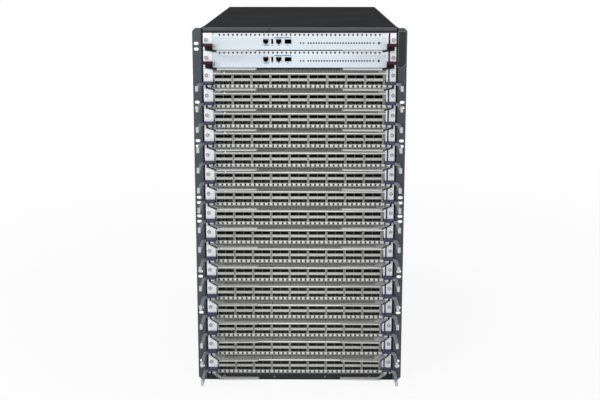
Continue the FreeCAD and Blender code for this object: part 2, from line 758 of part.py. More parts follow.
def fan_modules():
    """Two rows of three fabric modules, each with two fans behind round openings."""
    wide = f"((2 * {INNER} - {REAR_COLUMNS + 1} * rear_gap) / {REAR_COLUMNS})"
    tall = f"({REAR_BAY} - 2 * rear_gap)"
    made = []
    for row in range(REAR_ROWS):
        floor = f"({SHELF_BELOW} + wall_gauge + rear_gap / 3 + {row} * ({REAR_BAY} + wall_gauge))"
        for column in range(REAR_COLUMNS):
            name = f"fabric_{row}_{column}"
            left = f"(-{INNER} + rear_gap + {column} * ({wide} + rear_gap))"
            deep = "module_depth - fan_recess"
            outer, inner = rear_module(name, (left, REAR_START, floor), (wide, deep, tall))
            middle = f"({left} + {wide} / 2)"
            face = box(name + "_face", (left, f"{REAR_FACE} - fan_recess", floor), (wide, "fan_recess", tall))
            fans, hubs = [], []
            for number, z in enumerate(spread(2, "fan_pitch", f"{floor} + {tall} / 2")):
                at = (middle, f"{REAR_FACE} - fan_recess", z)
                fans.append(rod(f"{name}_fan_{number}", "fan_radius", "fan_recess", at, "y"))
                hubs.append(rod(f"{name}_hub_{number}", "fan_hub_radius", "fan_recess - 2", at, "y"))
            made += [cut(name, outer, [inner]), cut(name + "_plate", face, fans), *hubs]
            made.append(grip(name + "_grip", middle, f"{floor} + {tall} / 2 - grip_gauge / 2"))
    return made


def power_supplies():
    """A row of supplies on the base pan, each with a mains inlet recess."""
    wide = f"((2 * {INNER} - {SUPPLIES + 1} * rear_gap) / {SUPPLIES})"
    floor = "(wall_gauge + rear_gap / 3)"
    made = []
    for number in range(SUPPLIES):
        name = f"supply_{number}"
        left = f"(-{INNER} + rear_gap + {number} * ({wide} + rear_gap))"
        deep = "module_depth - fan_recess"
        outer, inner = rear_module(name, (left, REAR_START, floor), (wide, deep, "supply_height"))
        plate_back = f"{REAR_FACE} - fan_recess"
        face = box(name + "_face", (left, plate_back, floor), (wide, "fan_recess", "supply_height"))
        inlet_low = (f"{left} + {wide} * 0.72 - supply_inlet / 2", plate_back, f"{floor} + supply_height / 2")
        inlet = box(name + "_inlet", inlet_low, ("supply_inlet", "fan_recess", "supply_inlet"))
        made += [cut(name, outer, [inner]), cut(name + "_plate", face, [inlet])]
        made.append(grip(name + "_grip", f"({left} + {wide} / 2)", f"{floor} + supply_height / 5"))
    return made


# ---------------------------------------------------------------- assembly

def assembly():
    """Every sub-part that is written, by its label."""
    nodes = {
        "chassis_shell": chassis_shell(),
        "rack_ears": rack_ears(),
        "midplane": midplane(),
        "rear_modules": group("rear_modules", fan_modules() + power_supplies()),
    }
    line, controller, lever, button = line_card(), controller_card(), ejector_lever(), push_button()
    levers = {"left": (lever, "-pivot_place"), "right": (mirror("ejector_lever_right", lever), "pivot_place")}
    cards = [(f"controller_card_{n}", controller, controller_floor(n)) for n in range(1, CONTROLLERS + 1)]
    cards += [(f"line_card_{n:02d}", line, line_floor(n)) for n in range(1, LINE_CARDS + 1)]
    for label, card, floor in cards:
        nodes[label] = group(label, [card], (0, FRONT, floor))
        for side, (piece, x) in levers.items():
            name = f"{label.replace('card', 'lever')}_{side}"
            nodes[name] = group(name, [piece], (x, f"{FRONT} - pivot_proud", floor))
    for number in range(1, CONTROLLERS + 1):
        name = f"reset_button_{number}"
        at = ("button_place", FRONT, f"{controller_floor(number)} + button_rise")
        nodes[name] = group(name, [button], at)
    return nodes


def write(nodes):
    """Checks every object and sub-part, then writes one file for each sub-part."""
    failed = [obj.Name for obj in doc.Objects if "Invalid" in obj.State or "Error" in obj.State]
    if failed:
        raise RuntimeError(f"these objects failed: {failed}")
    for label, node in nodes.items():
        node.Label = label
        if node.Shape.isNull() or not node.Shape.isValid():
            raise RuntimeError(f"{label} has no valid shape")
    os.makedirs("parts", exist_ok=True)
    for label, node in nodes.items():
        node.Shape.exportStep(f"parts/{label}.step")
    print(len(nodes), "sub-parts,", sum(len(node.Shape.Solids) for node in nodes.values()), "solids")


made_nodes = assembly()
doc.recompute()
write(made_nodes)
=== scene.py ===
"""Looks of the modular chassis switch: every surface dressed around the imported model.

Sizes inside a card are in millimetres in the card's own frame: X from its middle, Y from its face towards
the back, Z from its slot's floor. Every Blender object is in metres.
"""
import json
import random
from math import copysign, cos, hypot, pi, radians, sin, tau

import bmesh
import bpy
from mathutils import Euler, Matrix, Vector


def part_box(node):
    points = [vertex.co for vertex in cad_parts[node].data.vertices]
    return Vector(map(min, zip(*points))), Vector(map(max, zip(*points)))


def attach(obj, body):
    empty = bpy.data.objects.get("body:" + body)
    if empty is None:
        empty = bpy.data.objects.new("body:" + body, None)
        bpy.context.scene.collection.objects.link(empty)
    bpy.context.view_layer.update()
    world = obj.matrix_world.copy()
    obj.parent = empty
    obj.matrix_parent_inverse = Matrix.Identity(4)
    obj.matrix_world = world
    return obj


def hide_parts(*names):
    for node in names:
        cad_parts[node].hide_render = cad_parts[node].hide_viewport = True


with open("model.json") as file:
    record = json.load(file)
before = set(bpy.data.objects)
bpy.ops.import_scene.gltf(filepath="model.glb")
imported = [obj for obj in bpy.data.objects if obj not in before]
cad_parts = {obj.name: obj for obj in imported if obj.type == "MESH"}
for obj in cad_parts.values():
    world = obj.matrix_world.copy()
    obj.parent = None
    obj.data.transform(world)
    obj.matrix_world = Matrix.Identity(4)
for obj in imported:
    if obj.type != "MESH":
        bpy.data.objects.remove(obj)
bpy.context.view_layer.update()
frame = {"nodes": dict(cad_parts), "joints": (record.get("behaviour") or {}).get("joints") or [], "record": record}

MM = 0.001
CHANCE = random.Random(7)

# ---- sizes in mm; those of the solids are as in the part's source

# chassis
BODY_HALF = 220.0
WALL = 2.0
INNER = BODY_HALF - WALL
DEPTH = 850.0
LIP_HEIGHT = 11.0
LIP_BRIGHT = 6.0
LIP_SETBACK = 1.5
LIP_DEPTH = 10.0
LIP_SEAM = -68.0
SEAM_WIDTH = 0.8
SILL_HEIGHT = 15.8
SILL_DEPTH = 12.0
SILL_SCREWS = (-60.0, 60.5, 165.0)
SCREW_RADIUS = 2.2
EARTH_X = -180.0
EARTH_RADIUS = 3.4
EARTH_BORE = 2.0
SILVER_SCREW_X = -191.5

# guide rails
RAIL_WIDTH = 14.0
RAIL_GAUGE = 1.5
RAIL_RISE = 0.7
RAIL_SETBACK = 14.0

# name plate
PLATE_WIDTH = 19.0
PLATE_HEIGHT = 82.0
PLATE_GAUGE = 1.2
PLATE_BEVEL = 9.0
PLATE_TOP_GAP = 7.5

# cards
CARD_HALF = 217.0
CARD_DEPTH = 500.0
CARD_GAP = 0.25
GAUGE = 1.5
SUNK = 0.02  # how far a thin piece dips into the face that carries it
PRINT_PROUD = 0.06
BAR_PROUD = 0.1
FACE_HALF = 196.0
LINE_PITCH = 45.7
CONTROLLER_PITCH = 40.0

# card ends: blocks, latch bands, stripe, captive screws, cheeks and lever pins
BLOCK_DEPTH = 12.0
BLOCK_PROUD = 1.5
BAND_TOP = 15.9
BAND_FLOOR = 9.9
BAND_PROUD = 16.0
BAND_BACK = 6.0
STRIPE_X = 199.2
STRIPE_WIDTH = 3.6
STRIPE_GAUGE = 0.6
CAPTIVE_X = 210.8
CAPTIVE_DROP = 15.5
CAPTIVE_RADIUS = 4.6
CAPTIVE_HEIGHT = 3.2
CROSS_LENGTH = 2.2
CROSS_WIDTH = 0.4
CHEEK_WIDTH = 4.0
PIVOT_X = 207.5
PIVOT_PROUD = 5.0

# insides of a card
TRAY_HALF = 216.2
TRAY_FLOOR = 1.0
TRAY_GAUGE = 1.2
TRAY_SIDE = 22.0
BOARD_TOP = 8.9
BOARD_GAUGE = 1.6
BOARD_HALF = 206.2
POST_RADIUS = 3
MATE_DEPTH = 22.0
MATE_WIDTH = 42.0
MATE_HEIGHT = 20.0
MATE_PITCH = 64.0
MATES = 6
SINK_WIDTH = 84.0
SINK_DEPTH = 96.0
SINK_BASE = 4.0
FIN_GAUGE = 2.0
FIN_HEIGHT = 18.0
FINS = 9
SINKS = 3
SINK_PITCH = 125.0
SINK_SETBACK = 130.0
CHIPS = 34  # in each field
CHIP_FIELDS = ((56, 122), (234, 460))  # front and back
CHIP_REACH = 190
CHIP_ROOM = 14
CHIP_KINDS = ((14, 14, 1.6), (8, 6, 1.4), (6, 6, 5.0), (20, 12, 1.2), (4, 2.4, 1.0))

# line card face
GROUPS = 9
GROUP_PITCH = 42.8
GROUP_SHIFT = -2.0
WINDOW_WIDTH = 39.0
WINDOW_FLOOR = 8.7
WINDOW_HEIGHT = 22.5
CAGE_GAP = 0.2
CAGE_DEPTH = 48.0
PORT_WIDTH = 18.3
PORT_HEIGHT = 7.5
PORT_DEPTH = 44.0
PORT_WEB = 1.2
PORT_FLOOR = 0.4
LAMPS = 36
LAMP_PITCH = 10.7
LAMP_SIDE = 3.0
LAMP_Z = 5.1
LENS_SIDE = LAMP_SIDE - 0.1
LENS_RIM = 0.8
LENS_FRONT = 1.1
LENS_BACK = 3.2
STRIP_FLOOR = 2.9
STRIP_TOP = 8.0
LIP_FLOOR = 31.3
CARD_LIP = 3.5
CARD_LIP_PROUD = 1.2
# height of the painted shadow under a card's lip
LIP_SHADOW = 1.3
# black strips of painted shade near the face's ends, where it meets the end blocks
RECESS_SHADE_GAP = 0.6
RECESS_SHADE_WIDTH = 2.0
RECESS_SHADE_FLOOR = 9.0
RECESS_SHADE_TOP = 20.0
CLIP_LOW = (-172.0, -0.9, 34.6)  # a small white clip on the vent strip
CLIP_HIGH = (-169.0, 1.6, 38.2)
VENT_FLOOR = 35.0
VENT_RISE = 8.0
VENT_BACK = 9.0
VENT_FLANGE = 9.0
VENT_COLUMNS = 99
VENT_ROWS = 3
VENT_PITCH = 3.6
VENT_HOLE = 1.6
VENT_MARGIN = 0.7
VENT_GAUGE = 1.2

# controller card face
CONTROL_FOLD = 31.0
CONTROL_RISE = 8.4
CONTROL_BACK = 3.4
CONTROL_FLANGE = 12.0
HOLES = 37
HOLE_PITCH = 10.0
HOLE_RISE = 4.2
HOLE_RADIUS = 2.55
HOLE_BAND = 5.6
CONTROL_GAUGE = 1.1
# the black sheet of painted shade behind the controller's holes
SHADE_BACKING = 0.3
EDGE_TOP = 1.9
SOCKET_Z = 20.6
JACK_WIDTH = 12.2
JACK_HEIGHT = 11.6
JACK_DEPTH = 16.0
JACKS = (-76.0, -47.0)
USB_WIDTH = 4.8
USB_HEIGHT = 11.6
USB_X = -61.5
SFP_WIDTH = 14.8
SFP_HEIGHT = 9.6
SFP_DEPTH = 48.0
SFP_X = -26.0
SOCKET_WALL = 1.6
JACK_RIM = 1.4
JACK_SILL = 1.0
JACK_PROUD = 0.7
JACK_LATCH = 2.0
TONGUE_HALF = 4.4
SFP_RIM = 0.8
SFP_PROUD = 0.6
WEDGE_WIDTH = 3.6
WEDGE_RISE = 4.2
CONTACTS = 8
CONTACT_PITCH = 1.1
BUTTON_X = 178.0
BUTTON_Z = 17.1
BUTTON_RADIUS = 2.2
BUTTON_GAP = 0.4
DOT_RADIUS = 2.0
DOTS_LEFT = (2.0, 8.7)
DOTS = 24
DOT_PITCH = 6.04
DOTS_MIDDLE = 88.7
DOT_RIGHT = 166.5
MARKS = ((-57, -19, 29.4), (-81, -69, 12.2), (-63, -60, 12.4), (-49, -45, 12.4), (-29, -25, 12.8))
MARK_HALF = 0.9

# levers
HUB_RADIUS = 4.2
PIN_RADIUS = 1.5
LEVER_FLOOR = 0.8
LEVER_GAUGE = 3.4
LEVER_ROOT_TOP = 9.4
LEVER_ROOT = 11.5
CRANK_OUT = 22.0
ARM_PROUD = 26.0
ARM_DEPTH = 12.0
TIP_DEPTH = 9.5
LEVER_REACH = 112.5
LEVER_BEND = 2.0
ROOT_FOOT = 7.4

# cable hooks
HOOK_GAUGE = 6.0
HOOK_FLARE = 4.5
HOOK_REACH = 85.0
HOOK_DROP = 5.3
HOOK_DEPTH = 5.8
HOOK_TIP_RISE = 12.0
HOOK_TIP_GAUGE = 3.6
HOOK_ROOT_GAP = 4.0
HOOK_BEND = 24.0
TIP_OVERLAP = 0.4

# rack ears and rear modules
EAR_GAUGE = 2.0
EAR_LEG = 45.0
MODULE_DEPTH = 300.0
REAR_GAP = 1.0
REAR_COLUMNS = 3
REAR_ROWS = 2
SUPPLIES = 4
SUPPLY_HEIGHT = 92.0
INLET = 28.0
FAN_PITCH = 160.0
GUARD_RINGS = (48.5, 38.5, 28.5, 19.5)
SPOKE = (8, 50, 0.9)  # inner end, outer end and half width
ROTOR_RADIUS = 17.5
BLADES = 7
RIVET_RADIUS = 3.0
RIVET_FACE = 2.4

record = frame["record"]
mounts = {mount["name"]: mount for mount in record["mounts"]}
joints = {joint["name"]: joint for joint in frame["joints"]}
FRONT = mounts["rack_slots_1"]["pos_m"][1] / MM
BACK = FRONT + DEPTH
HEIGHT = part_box("chassis_shell")[1][2] / MM
SHELF_BELOW = WALL + SUPPLY_HEIGHT + 2 * REAR_GAP
REAR_BAY = (HEIGHT - WALL - SHELF_BELOW - WALL * REAR_ROWS) / REAR_ROWS
CARDS = sorted(node for node in frame["nodes"] if "card" in node)


# ---- materials

def start(name):
    """A new material with its node tree and its shader."""
    material = bpy.data.materials.new(name)
    material.use_nodes = True
    tree = material.node_tree
    return material, tree, tree.nodes["Principled BSDF"]


def node(tree, kind, inputs=None, **settings):
    """A shader node with its settings; each input takes a value or another node's output."""
    made = tree.nodes.new("ShaderNode" + kind)
    for key, value in settings.items():
        setattr(made, key, value)
    for key, value in (inputs or {}).items():
        feed(tree, made.inputs[key], value)
    return made


def feed(tree, place, value):
    if isinstance(value, bpy.types.NodeSocket):
        tree.links.new(value, place)
    else:
        place.default_value = value


def pattern(tree, scale, stretch=(1, 1, 1), detail=3.0):
    """Noise in the piece's own coordinates, stretched along its axes."""
    place = node(tree, "TexCoord").outputs["Object"]
    mapped = node(tree, "Mapping", {"Vector": place, "Scale": stretch}).outputs["Vector"]
    settings = {"Vector": mapped, "Scale": scale, "Detail": detail, "Roughness": 0.55}
    return node(tree, "TexNoise", settings).outputs["Fac"]


def vary(tree, fac, low, high, soft=0.18):
    """A colour that drifts between two tints."""
    ramp = node(tree, "ValToRGB", {"Fac": fac})
    for stop, position, colour in zip(ramp.color_ramp.elements, (0.5 - soft, 0.5 + soft), (low, high)):
        stop.position, stop.color = position, (*colour, 1)
    return ramp.outputs["Color"]


def spread_value(tree, fac, low, high):
    """A number that drifts between two values."""
    settings = {"Value": fac, "From Min": 0.3, "From Max": 0.7, "To Min": low, "To Max": high}
    return node(tree, "MapRange", settings).outputs["Result"]


def finish_surface(tree, shader, colour, rough, relief, strength, distance):
    """Gives the shader its colour, roughness and fine relief."""
    bump = node(tree, "Bump", {"Height": relief, "Strength": strength, "Distance": distance})
    feed(tree, shader.inputs["Base Color"], colour)
    feed(tree, shader.inputs["Roughness"], rough)
    feed(tree, shader.inputs["Normal"], bump.outputs["Normal"])


def scaled(colour, factor):
    """A lighter or darker colour."""
    return tuple(min(1.0, channel * factor) for channel in colour)


def painted(name, colour, rough, spread=0.07, grain=1400.0, relief=0.2, shine=0.35):
    """Powder coat: an even colour with slow drift and a fine orange-peel grain."""
    material, tree, shader = start(name)
    slow = pattern(tree, 9.0, detail=2.0)
    fine = pattern(tree, grain, detail=2.0)
    tint = vary(tree, slow, scaled(colour, 1 - spread), scaled(colour, 1 + spread))
    dullness = spread_value(tree, fine, rough - 0.05, rough + 0.06)
    finish_surface(tree, shader, tint, dullness, fine, relief, 0.0002)
    shader.inputs["Specular IOR Level"].default_value = shine
    return material


def brushed(name, colour, rough, metallic, spread=0.1, along="x"):
    """Rolled or brushed sheet: fine streaks along one axis over a slow drift."""
    material, tree, shader = start(name)
    stretch = {"x": (3, 260, 260), "y": (260, 3, 260), "z": (260, 260, 3)}[along]
    streak = pattern(tree, 3.0, stretch)
    tint = vary(tree, streak, scaled(colour, 1 - spread), scaled(colour, 1 + spread), 0.25)
    dullness = spread_value(tree, streak, rough - 0.06, rough + 0.08)
    finish_surface(tree, shader, tint, dullness, streak, 0.15, 0.0002)
    shader.inputs["Metallic"].default_value = metallic
    return material


def moulded(name, colour, rough, spread=0.1):
    """Moulded plastic with a faint spark-eroded texture."""
    material, tree, shader = start(name)
    fine = pattern(tree, 2600.0, detail=1.0)
    slow = pattern(tree, 40.0)
    tint = vary(tree, slow, scaled(colour, 1 - spread), scaled(colour, 1 + spread))
    dullness = spread_value(tree, fine, rough - 0.06, rough + 0.08)
    finish_surface(tree, shader, tint, dullness, fine, 0.12, 0.0001)
    return material


def circuit(name, colour, copper):
    """Solder mask with faint copper traces under it."""
    material, tree, shader = start(name)
    place = node(tree, "TexCoord").outputs["Object"]
    mapped = node(tree, "Mapping", {"Vector": place, "Scale": (260, 260, 1)}).outputs["Vector"]
    brick = node(tree, "TexBrick", {
        "Vector": mapped, "Scale": 1.0, "Mortar Size": 0.06, "Brick Width": 2.6, "Row Height": 0.7,
        "Color1": (*colour, 1), "Color2": (*scaled(colour, 0.8), 1), "Mortar": (*copper, 1),
    })
    grain = pattern(tree, 700.0)
    dullness = spread_value(tree, grain, 0.3, 0.42)
    finish_surface(tree, shader, brick.outputs["Color"], dullness, grain, 0.1, 0.0001)
    return material


PAINT = {
    "chassis": painted("chassis_paint", (0.036, 0.038, 0.0405), 0.9, shine=0.0),
    "lip": painted("lip_paint", (0.078, 0.084, 0.09), 0.5, shine=0.2),
    "ear": painted("ear_paint", (0.063, 0.073, 0.085), 0.55, shine=0.2),
    "plate": painted("plate_paint", (0.026, 0.031, 0.033), 0.5, shine=0.2),
    # Pale rim of the name plate: painted edge highlight.
    "plate_edge": painted("edge_highlight_paint", (0.2, 0.22, 0.22), 0.4),
    "controller": painted("controller_paint", (0.66, 0.73, 0.79), 0.45, 0.03, 1800.0, 0.08),
    "controller_top": painted("controller_top_paint", (0.78, 0.83, 0.87), 0.4, 0.02, 1800.0, 0.08),
    # Pale paint of the end blocks; on the line levers' root plates it is a painted reflection.
    "block": painted("pale_paint_and_reflection", (0.86, 0.88, 0.92), 0.45, 0.03, 1800.0, 0.08, 0.25),
    "strip": painted("strip_paint", (0.7, 0.705, 0.69), 0.42, 0.05, 1800.0, 0.08),
    "navy": painted("navy_plastic", (0.058, 0.058, 0.11), 0.5, 0.1, 2600.0, 0.12, 0.15),
    "maroon": painted("maroon_plastic", (0.052, 0.008, 0.022), 0.5, 0.1, 2600.0, 0.12, 0.15),
    # Black plastic; the strips beside the ears and near the face's ends and the screws' cross recesses are painted
    # shade in it.
    "black": painted("plastic_black_and_shade", (0.01, 0.01, 0.011), 0.55, 0.1, 2600.0, 0.12, 0.15),
    # Near-black painted shade on the walls of holes, inside the socket housings, on the supplies' slots and behind
    # the controller's holes.
    "cavity": moulded("black_for_shade_in_holes", (0.004, 0.004, 0.004), 0.8),
    # Dark tint on the sockets' inner walls: painted shade inside the port cages.
    "hollow": moulded("port_inside_shade", (0.06, 0.058, 0.055), 0.7),
    "lamp": moulded("lamp_lens", (0.008, 0.009, 0.009), 0.4),
    "mark": moulded("mark_ink", (0.02, 0.17, 0.32), 0.5),
    "hook": moulded("hook_plastic", (0.24, 0.255, 0.275), 0.45, 0.12),
    "hook_tip": moulded("hook_tip_plastic", (0.5, 0.52, 0.53), 0.45),
    "sheet": brushed("card_sheet", (0.24, 0.24, 0.232), 0.42, 0.35),
    "lip_metal": brushed("card_lip_sheet", (0.95, 0.95, 0.94), 0.36, 0.12, 0.04),
    "vent": brushed("vent_sheet", (0.5, 0.5, 0.485), 0.45, 0.4),
    "cage": brushed("cage_sheet", (0.56, 0.55, 0.53), 0.34, 0.45),
    # Dark brushed sheet; under the card lip and round the captive screws' heads it is painted shadow.
    "tab": brushed("dark_sheet_and_shade", (0.1, 0.1, 0.1), 0.45, 0.4),
    "lever": brushed("lever_steel", (0.56, 0.57, 0.565), 0.34, 0.35, 0.05),
    "screw": brushed("screw_steel", (0.66, 0.67, 0.68), 0.3, 0.7),
    "gold": brushed("earth_gold", (0.5, 0.4, 0.12), 0.35, 0.8),
    "tray": brushed("tray_sheet", (0.5, 0.51, 0.51), 0.38, 0.8, along="y"),
    "sink": brushed("sink_aluminium", (0.45, 0.46, 0.47), 0.4, 0.8, along="y"),
    "board": circuit("board_mask", (0.012, 0.085, 0.04), (0.05, 0.16, 0.07)),
    "module": brushed("module_sheet", (0.36, 0.37, 0.38), 0.42, 0.7, along="z"),
    "rotor": moulded("rotor_plastic", (0.02, 0.021, 0.022), 0.4),
    "rail": brushed("rail_sheet", (0.2, 0.21, 0.21), 0.45, 0.7, along="y"),
}


# ---- mesh forms

def turn(radius, angle):
    """A place on a circle about zero."""
    return radius * cos(angle), radius * sin(angle)


def circle(radius, sides):
    return [turn(radius, tau * k / sides) for k in range(sides)]


class Form:
    """Closed solids gathered into one mesh, each face with a named finish."""

    def __init__(self):
        self.points, self.faces, self.finishes, self.known = [], [], [], {}

    def point(self, x, y, z, key=None):
        """The number of a point; points with one key and place are shared."""
        mark = (key, round(x, 4), round(y, 4), round(z, 4))
        if key is None or mark not in self.known:
            self.points.append((x * MM, y * MM, z * MM))
            self.known[mark] = len(self.points) - 1
        return self.known[mark]

    def face(self, corners, finish):
        """A face between numbered points."""
        self.faces.append(corners)
        self.finishes.append(finish)

    def loft(self, rings, finish):
        """A skin over rings of points, closed at both ends."""
        numbers = [[self.point(*corner) for corner in ring] for ring in rings]
        count = len(numbers[0])
        for low, high in zip(numbers, numbers[1:]):
            for k in range(count):
                self.face((low[k], low[(k + 1) % count], high[(k + 1) % count], high[k]), finish)
        self.face(tuple(reversed(numbers[0])), finish)
        self.face(tuple(numbers[-1]), finish)

    def box(self, low, high, finish, chamfer=0.0):
        """A block; with a chamfer the edges of its front are broken."""
        (x0, y0, z0), (x1, y1, z1) = low, high
        c = chamfer
        rings = [[(x0, y1, z0), (x0, y1, z1), (x1, y1, z1), (x1, y1, z0)]]
        if c:
            rings.append([(x0, y0 + c, z0), (x0, y0 + c, z1), (x1, y0 + c, z1), (x1, y0 + c, z0)])
        rings.append([(x0 + c, y0, z0 + c), (x0 + c, y0, z1 - c), (x1 - c, y0, z1 - c), (x1 - c, y0, z0 + c)])
        self.loft(rings, finish)

    def side_box(self, side, inner, outer, low, high, finish, chamfer=0.0):
        """A block between two distances from the middle on one side; low and high are (y, z)."""
        near, far = sorted((side * inner, side * outer))
        self.box((near, *low), (far, *high), finish, chamfer)

    def extrude(self, outline, place, start, end, finish, edges=()):
        """An outline of (a, b) pairs carried from start to end; place turns (a, b, t) into a point.

        The sides that begin at the outline's points listed in edges are finished in black.
        """
        first = len(self.faces)
        self.loft([[place(a, b, start) for a, b in outline], [place(a, b, end) for a, b in outline]], finish)
        for k in edges:
            self.finishes[first + k] = "black"

    def rod(self, centre, radius, start, end, finish, sides=20, chamfer=0.0):
        """A round bar along Y from start to end; its start may be chamfered."""
        stations = [(end, radius), (start, radius)]
        if chamfer:
            stations[1:] = [(start + copysign(chamfer, end - start), radius), (start, radius - chamfer)]
        self.turned(centre, stations, finish, sides=sides)

    def turned(self, centre, stations, finish, axis="y", sides=20):
        """A round solid about Y or Z through places along the axis, each with its radius."""
        rings = []
        for along, radius in stations:
            if axis == "y":
                rings.append([(centre[0] + u, along, centre[1] + v) for u, v in circle(radius, sides)])
            else:
                rings.append([(centre[0] + u, centre[1] - v, along) for u, v in circle(radius, sides)])
        self.loft(rings, finish)

    def ring(self, centre, outer, inner, start, end, finish, sides=24):
        """A flat ring along Y from start to end."""
        corners = ((outer, start), (outer, end), (inner, end), (inner, start))
        numbers = []
        for k in range(sides):
            places = [(turn(radius, tau * k / sides), along) for radius, along in corners]
            numbers.append([self.point(centre[0] + u, along, centre[1] + v) for (u, v), along in places])
        for k in range(sides):
            here, there = numbers[k], numbers[(k + 1) % sides]
            for i in range(4):
                j = (i + 1) % 4
                self.face((here[i], here[j], there[j], there[i]), finish)

    def plate(self, low, high, front, back, holes, finish, pocket=None, inner=None, pick=None):
        """A flat plate in X and Z with square openings, or with pockets down to a depth.

        A hole is its left, floor, right and top; pick gives the finish at a place.
        """
        key = len(self.points)
        xs = sorted({low[0], high[0], *(x for h in holes for x in (h[0], h[2]))})
        zs = sorted({low[1], high[1], *(z for h in holes for z in (h[1], h[3]))})

        def open_at(i, k):
            """True in a hole, False in the sheet and None beyond the plate's edge."""
            if not (0 <= i < len(xs) - 1 and 0 <= k < len(zs) - 1):
                return None
            x, z = (xs[i] + xs[i + 1]) / 2, (zs[k] + zs[k + 1]) / 2
            return any(h[0] < x < h[2] and h[1] < z < h[3] for h in holes)

        def quad(corners, chosen):
            self.face(tuple(self.point(*corner, key=key) for corner in corners), chosen)

        for i in range(len(xs) - 1):
            for k in range(len(zs) - 1):
                x0, x1, z0, z1 = xs[i], xs[i + 1], zs[k], zs[k + 1]
                is_open = open_at(i, k)
                chosen = pick((x0 + x1) / 2, (z0 + z1) / 2) if pick else finish
                if not is_open:
                    quad(((x0, front, z0), (x1, front, z0), (x1, front, z1), (x0, front, z1)), chosen)
                elif pocket is not None:
                    quad(((x0, pocket, z0), (x1, pocket, z0), (x1, pocket, z1), (x0, pocket, z1)), inner)
                if not is_open or pocket is not None:
                    quad(((x0, back, z0), (x0, back, z1), (x1, back, z1), (x1, back, z0)), finish)
                if is_open:
                    continue
                sides = (
                    (open_at(i - 1, k), (x0, z0), (x0, z1)), (open_at(i + 1, k), (x1, z1), (x1, z0)),
                    (open_at(i, k - 1), (x1, z0), (x0, z0)), (open_at(i, k + 1), (x0, z1), (x1, z1)),
                )
                for beyond, (xa, za), (xb, zb) in sides:
                    if beyond is False:
                        continue
                    far = pocket if beyond and pocket is not None else back
                    skin = inner if beyond and inner else chosen
                    quad(((xa, front, za), (xb, front, zb), (xb, far, zb), (xa, far, za)), skin)

    def sieve(self, origin, run, climb, depth, columns, rows, radius, finish):
        """Rows of six-sided holes in a strip; run and climb are a cell's steps, depth is the thickness."""
        origin, run, climb, depth = Vector(origin), Vector(run), Vector(climb), Vector(depth)
        half_u, half_v = run.length / 2, climb.length / 2
        across, upward = run.normalized(), climb.normalized()
        for row in range(rows):
            key = ("sieve", len(self.points))
            for column in range(columns):
                middle = origin + run * (column + 0.5) + climb * (row + 0.5)
                first, last = column == 0, column == columns - 1
                outside = {0: last, 5: last, 2: first, 3: first}
                rim, opening = [], []
                for k, (u, v) in enumerate(((1, 0), (1, 1), (-1, 1), (-1, 0), (-1, -1), (1, -1))):
                    rim.append(middle + across * (u * half_u) + upward * (v * half_v))
                    a, b = turn(radius, pi / 3 * k)
                    opening.append(middle + across * a + upward * b)
                front_rim = [self.point(*p, key=key) for p in rim]
                back_rim = [self.point(*(p + depth), key=key) for p in rim]
                front_hole = [self.point(*p) for p in opening]
                back_hole = [self.point(*(p + depth)) for p in opening]
                for k in range(6):
                    j = (k + 1) % 6
                    self.face((front_rim[k], front_rim[j], front_hole[j], front_hole[k]), finish)
                    self.face((back_rim[j], back_rim[k], back_hole[k], back_hole[j]), finish)
                    # The holes' walls are painted near-black: painted shade.
                    self.face((front_hole[k], front_hole[j], back_hole[j], back_hole[k]), "cavity")
                    if outside.get(k, True):
                        self.face((front_rim[j], front_rim[k], back_rim[k], back_rim[j]), finish)

    def mesh(self, name, bevel=0.0):
        """The mesh of all the solids; with a bevel its sharp edges are rounded."""
        made = bpy.data.meshes.new(name)
        made.from_pydata(self.points, [], self.faces)
        names = sorted(set(self.finishes))
        for finish in names:
            made.materials.append(PAINT[finish])
        for polygon, finish in zip(made.polygons, self.finishes):
            polygon.material_index = names.index(finish)
        work = bmesh.new()
        work.from_mesh(made)
        bmesh.ops.recalc_face_normals(work, faces=work.faces)
        if bevel:
            sharp = [e for e in work.edges if e.is_manifold and e.calc_face_angle(0) > radians(35)]
            settings = {"offset": bevel * MM, "segments": 2, "affect": "EDGES", "clamp_overlap": True}
            bmesh.ops.bevel(work, geom=sharp, **settings)
        work.to_mesh(made)
        work.free()
        return made


def new_object(name, data):
    piece = bpy.data.objects.new(name, data)
    bpy.context.scene.collection.objects.link(piece)
    return piece


def show(name, mesh, body, at=(0, 0, 0), smooth=None):
    """An object of a mesh, placed in millimetres, riding on a body."""
    piece = new_object(name, mesh)
    piece.location = Vector(at) * MM
    if smooth:
        for polygon in mesh.polygons:
            polygon.use_smooth = True
        mesh.set_sharp_from_angle(angle=radians(smooth))
    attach(piece, body)
    return piece


def spread(count, pitch, middle=0.0):
    """Places at an even pitch about a middle."""
    return [middle + (k - (count - 1) / 2) * pitch for k in range(count)]


def hole(x, z, wide, tall):
    """The edges of an opening about its middle: left, floor, right and top."""
    return (x - wide / 2, z - tall / 2, x + wide / 2, z + tall / 2)


# ---- line card face

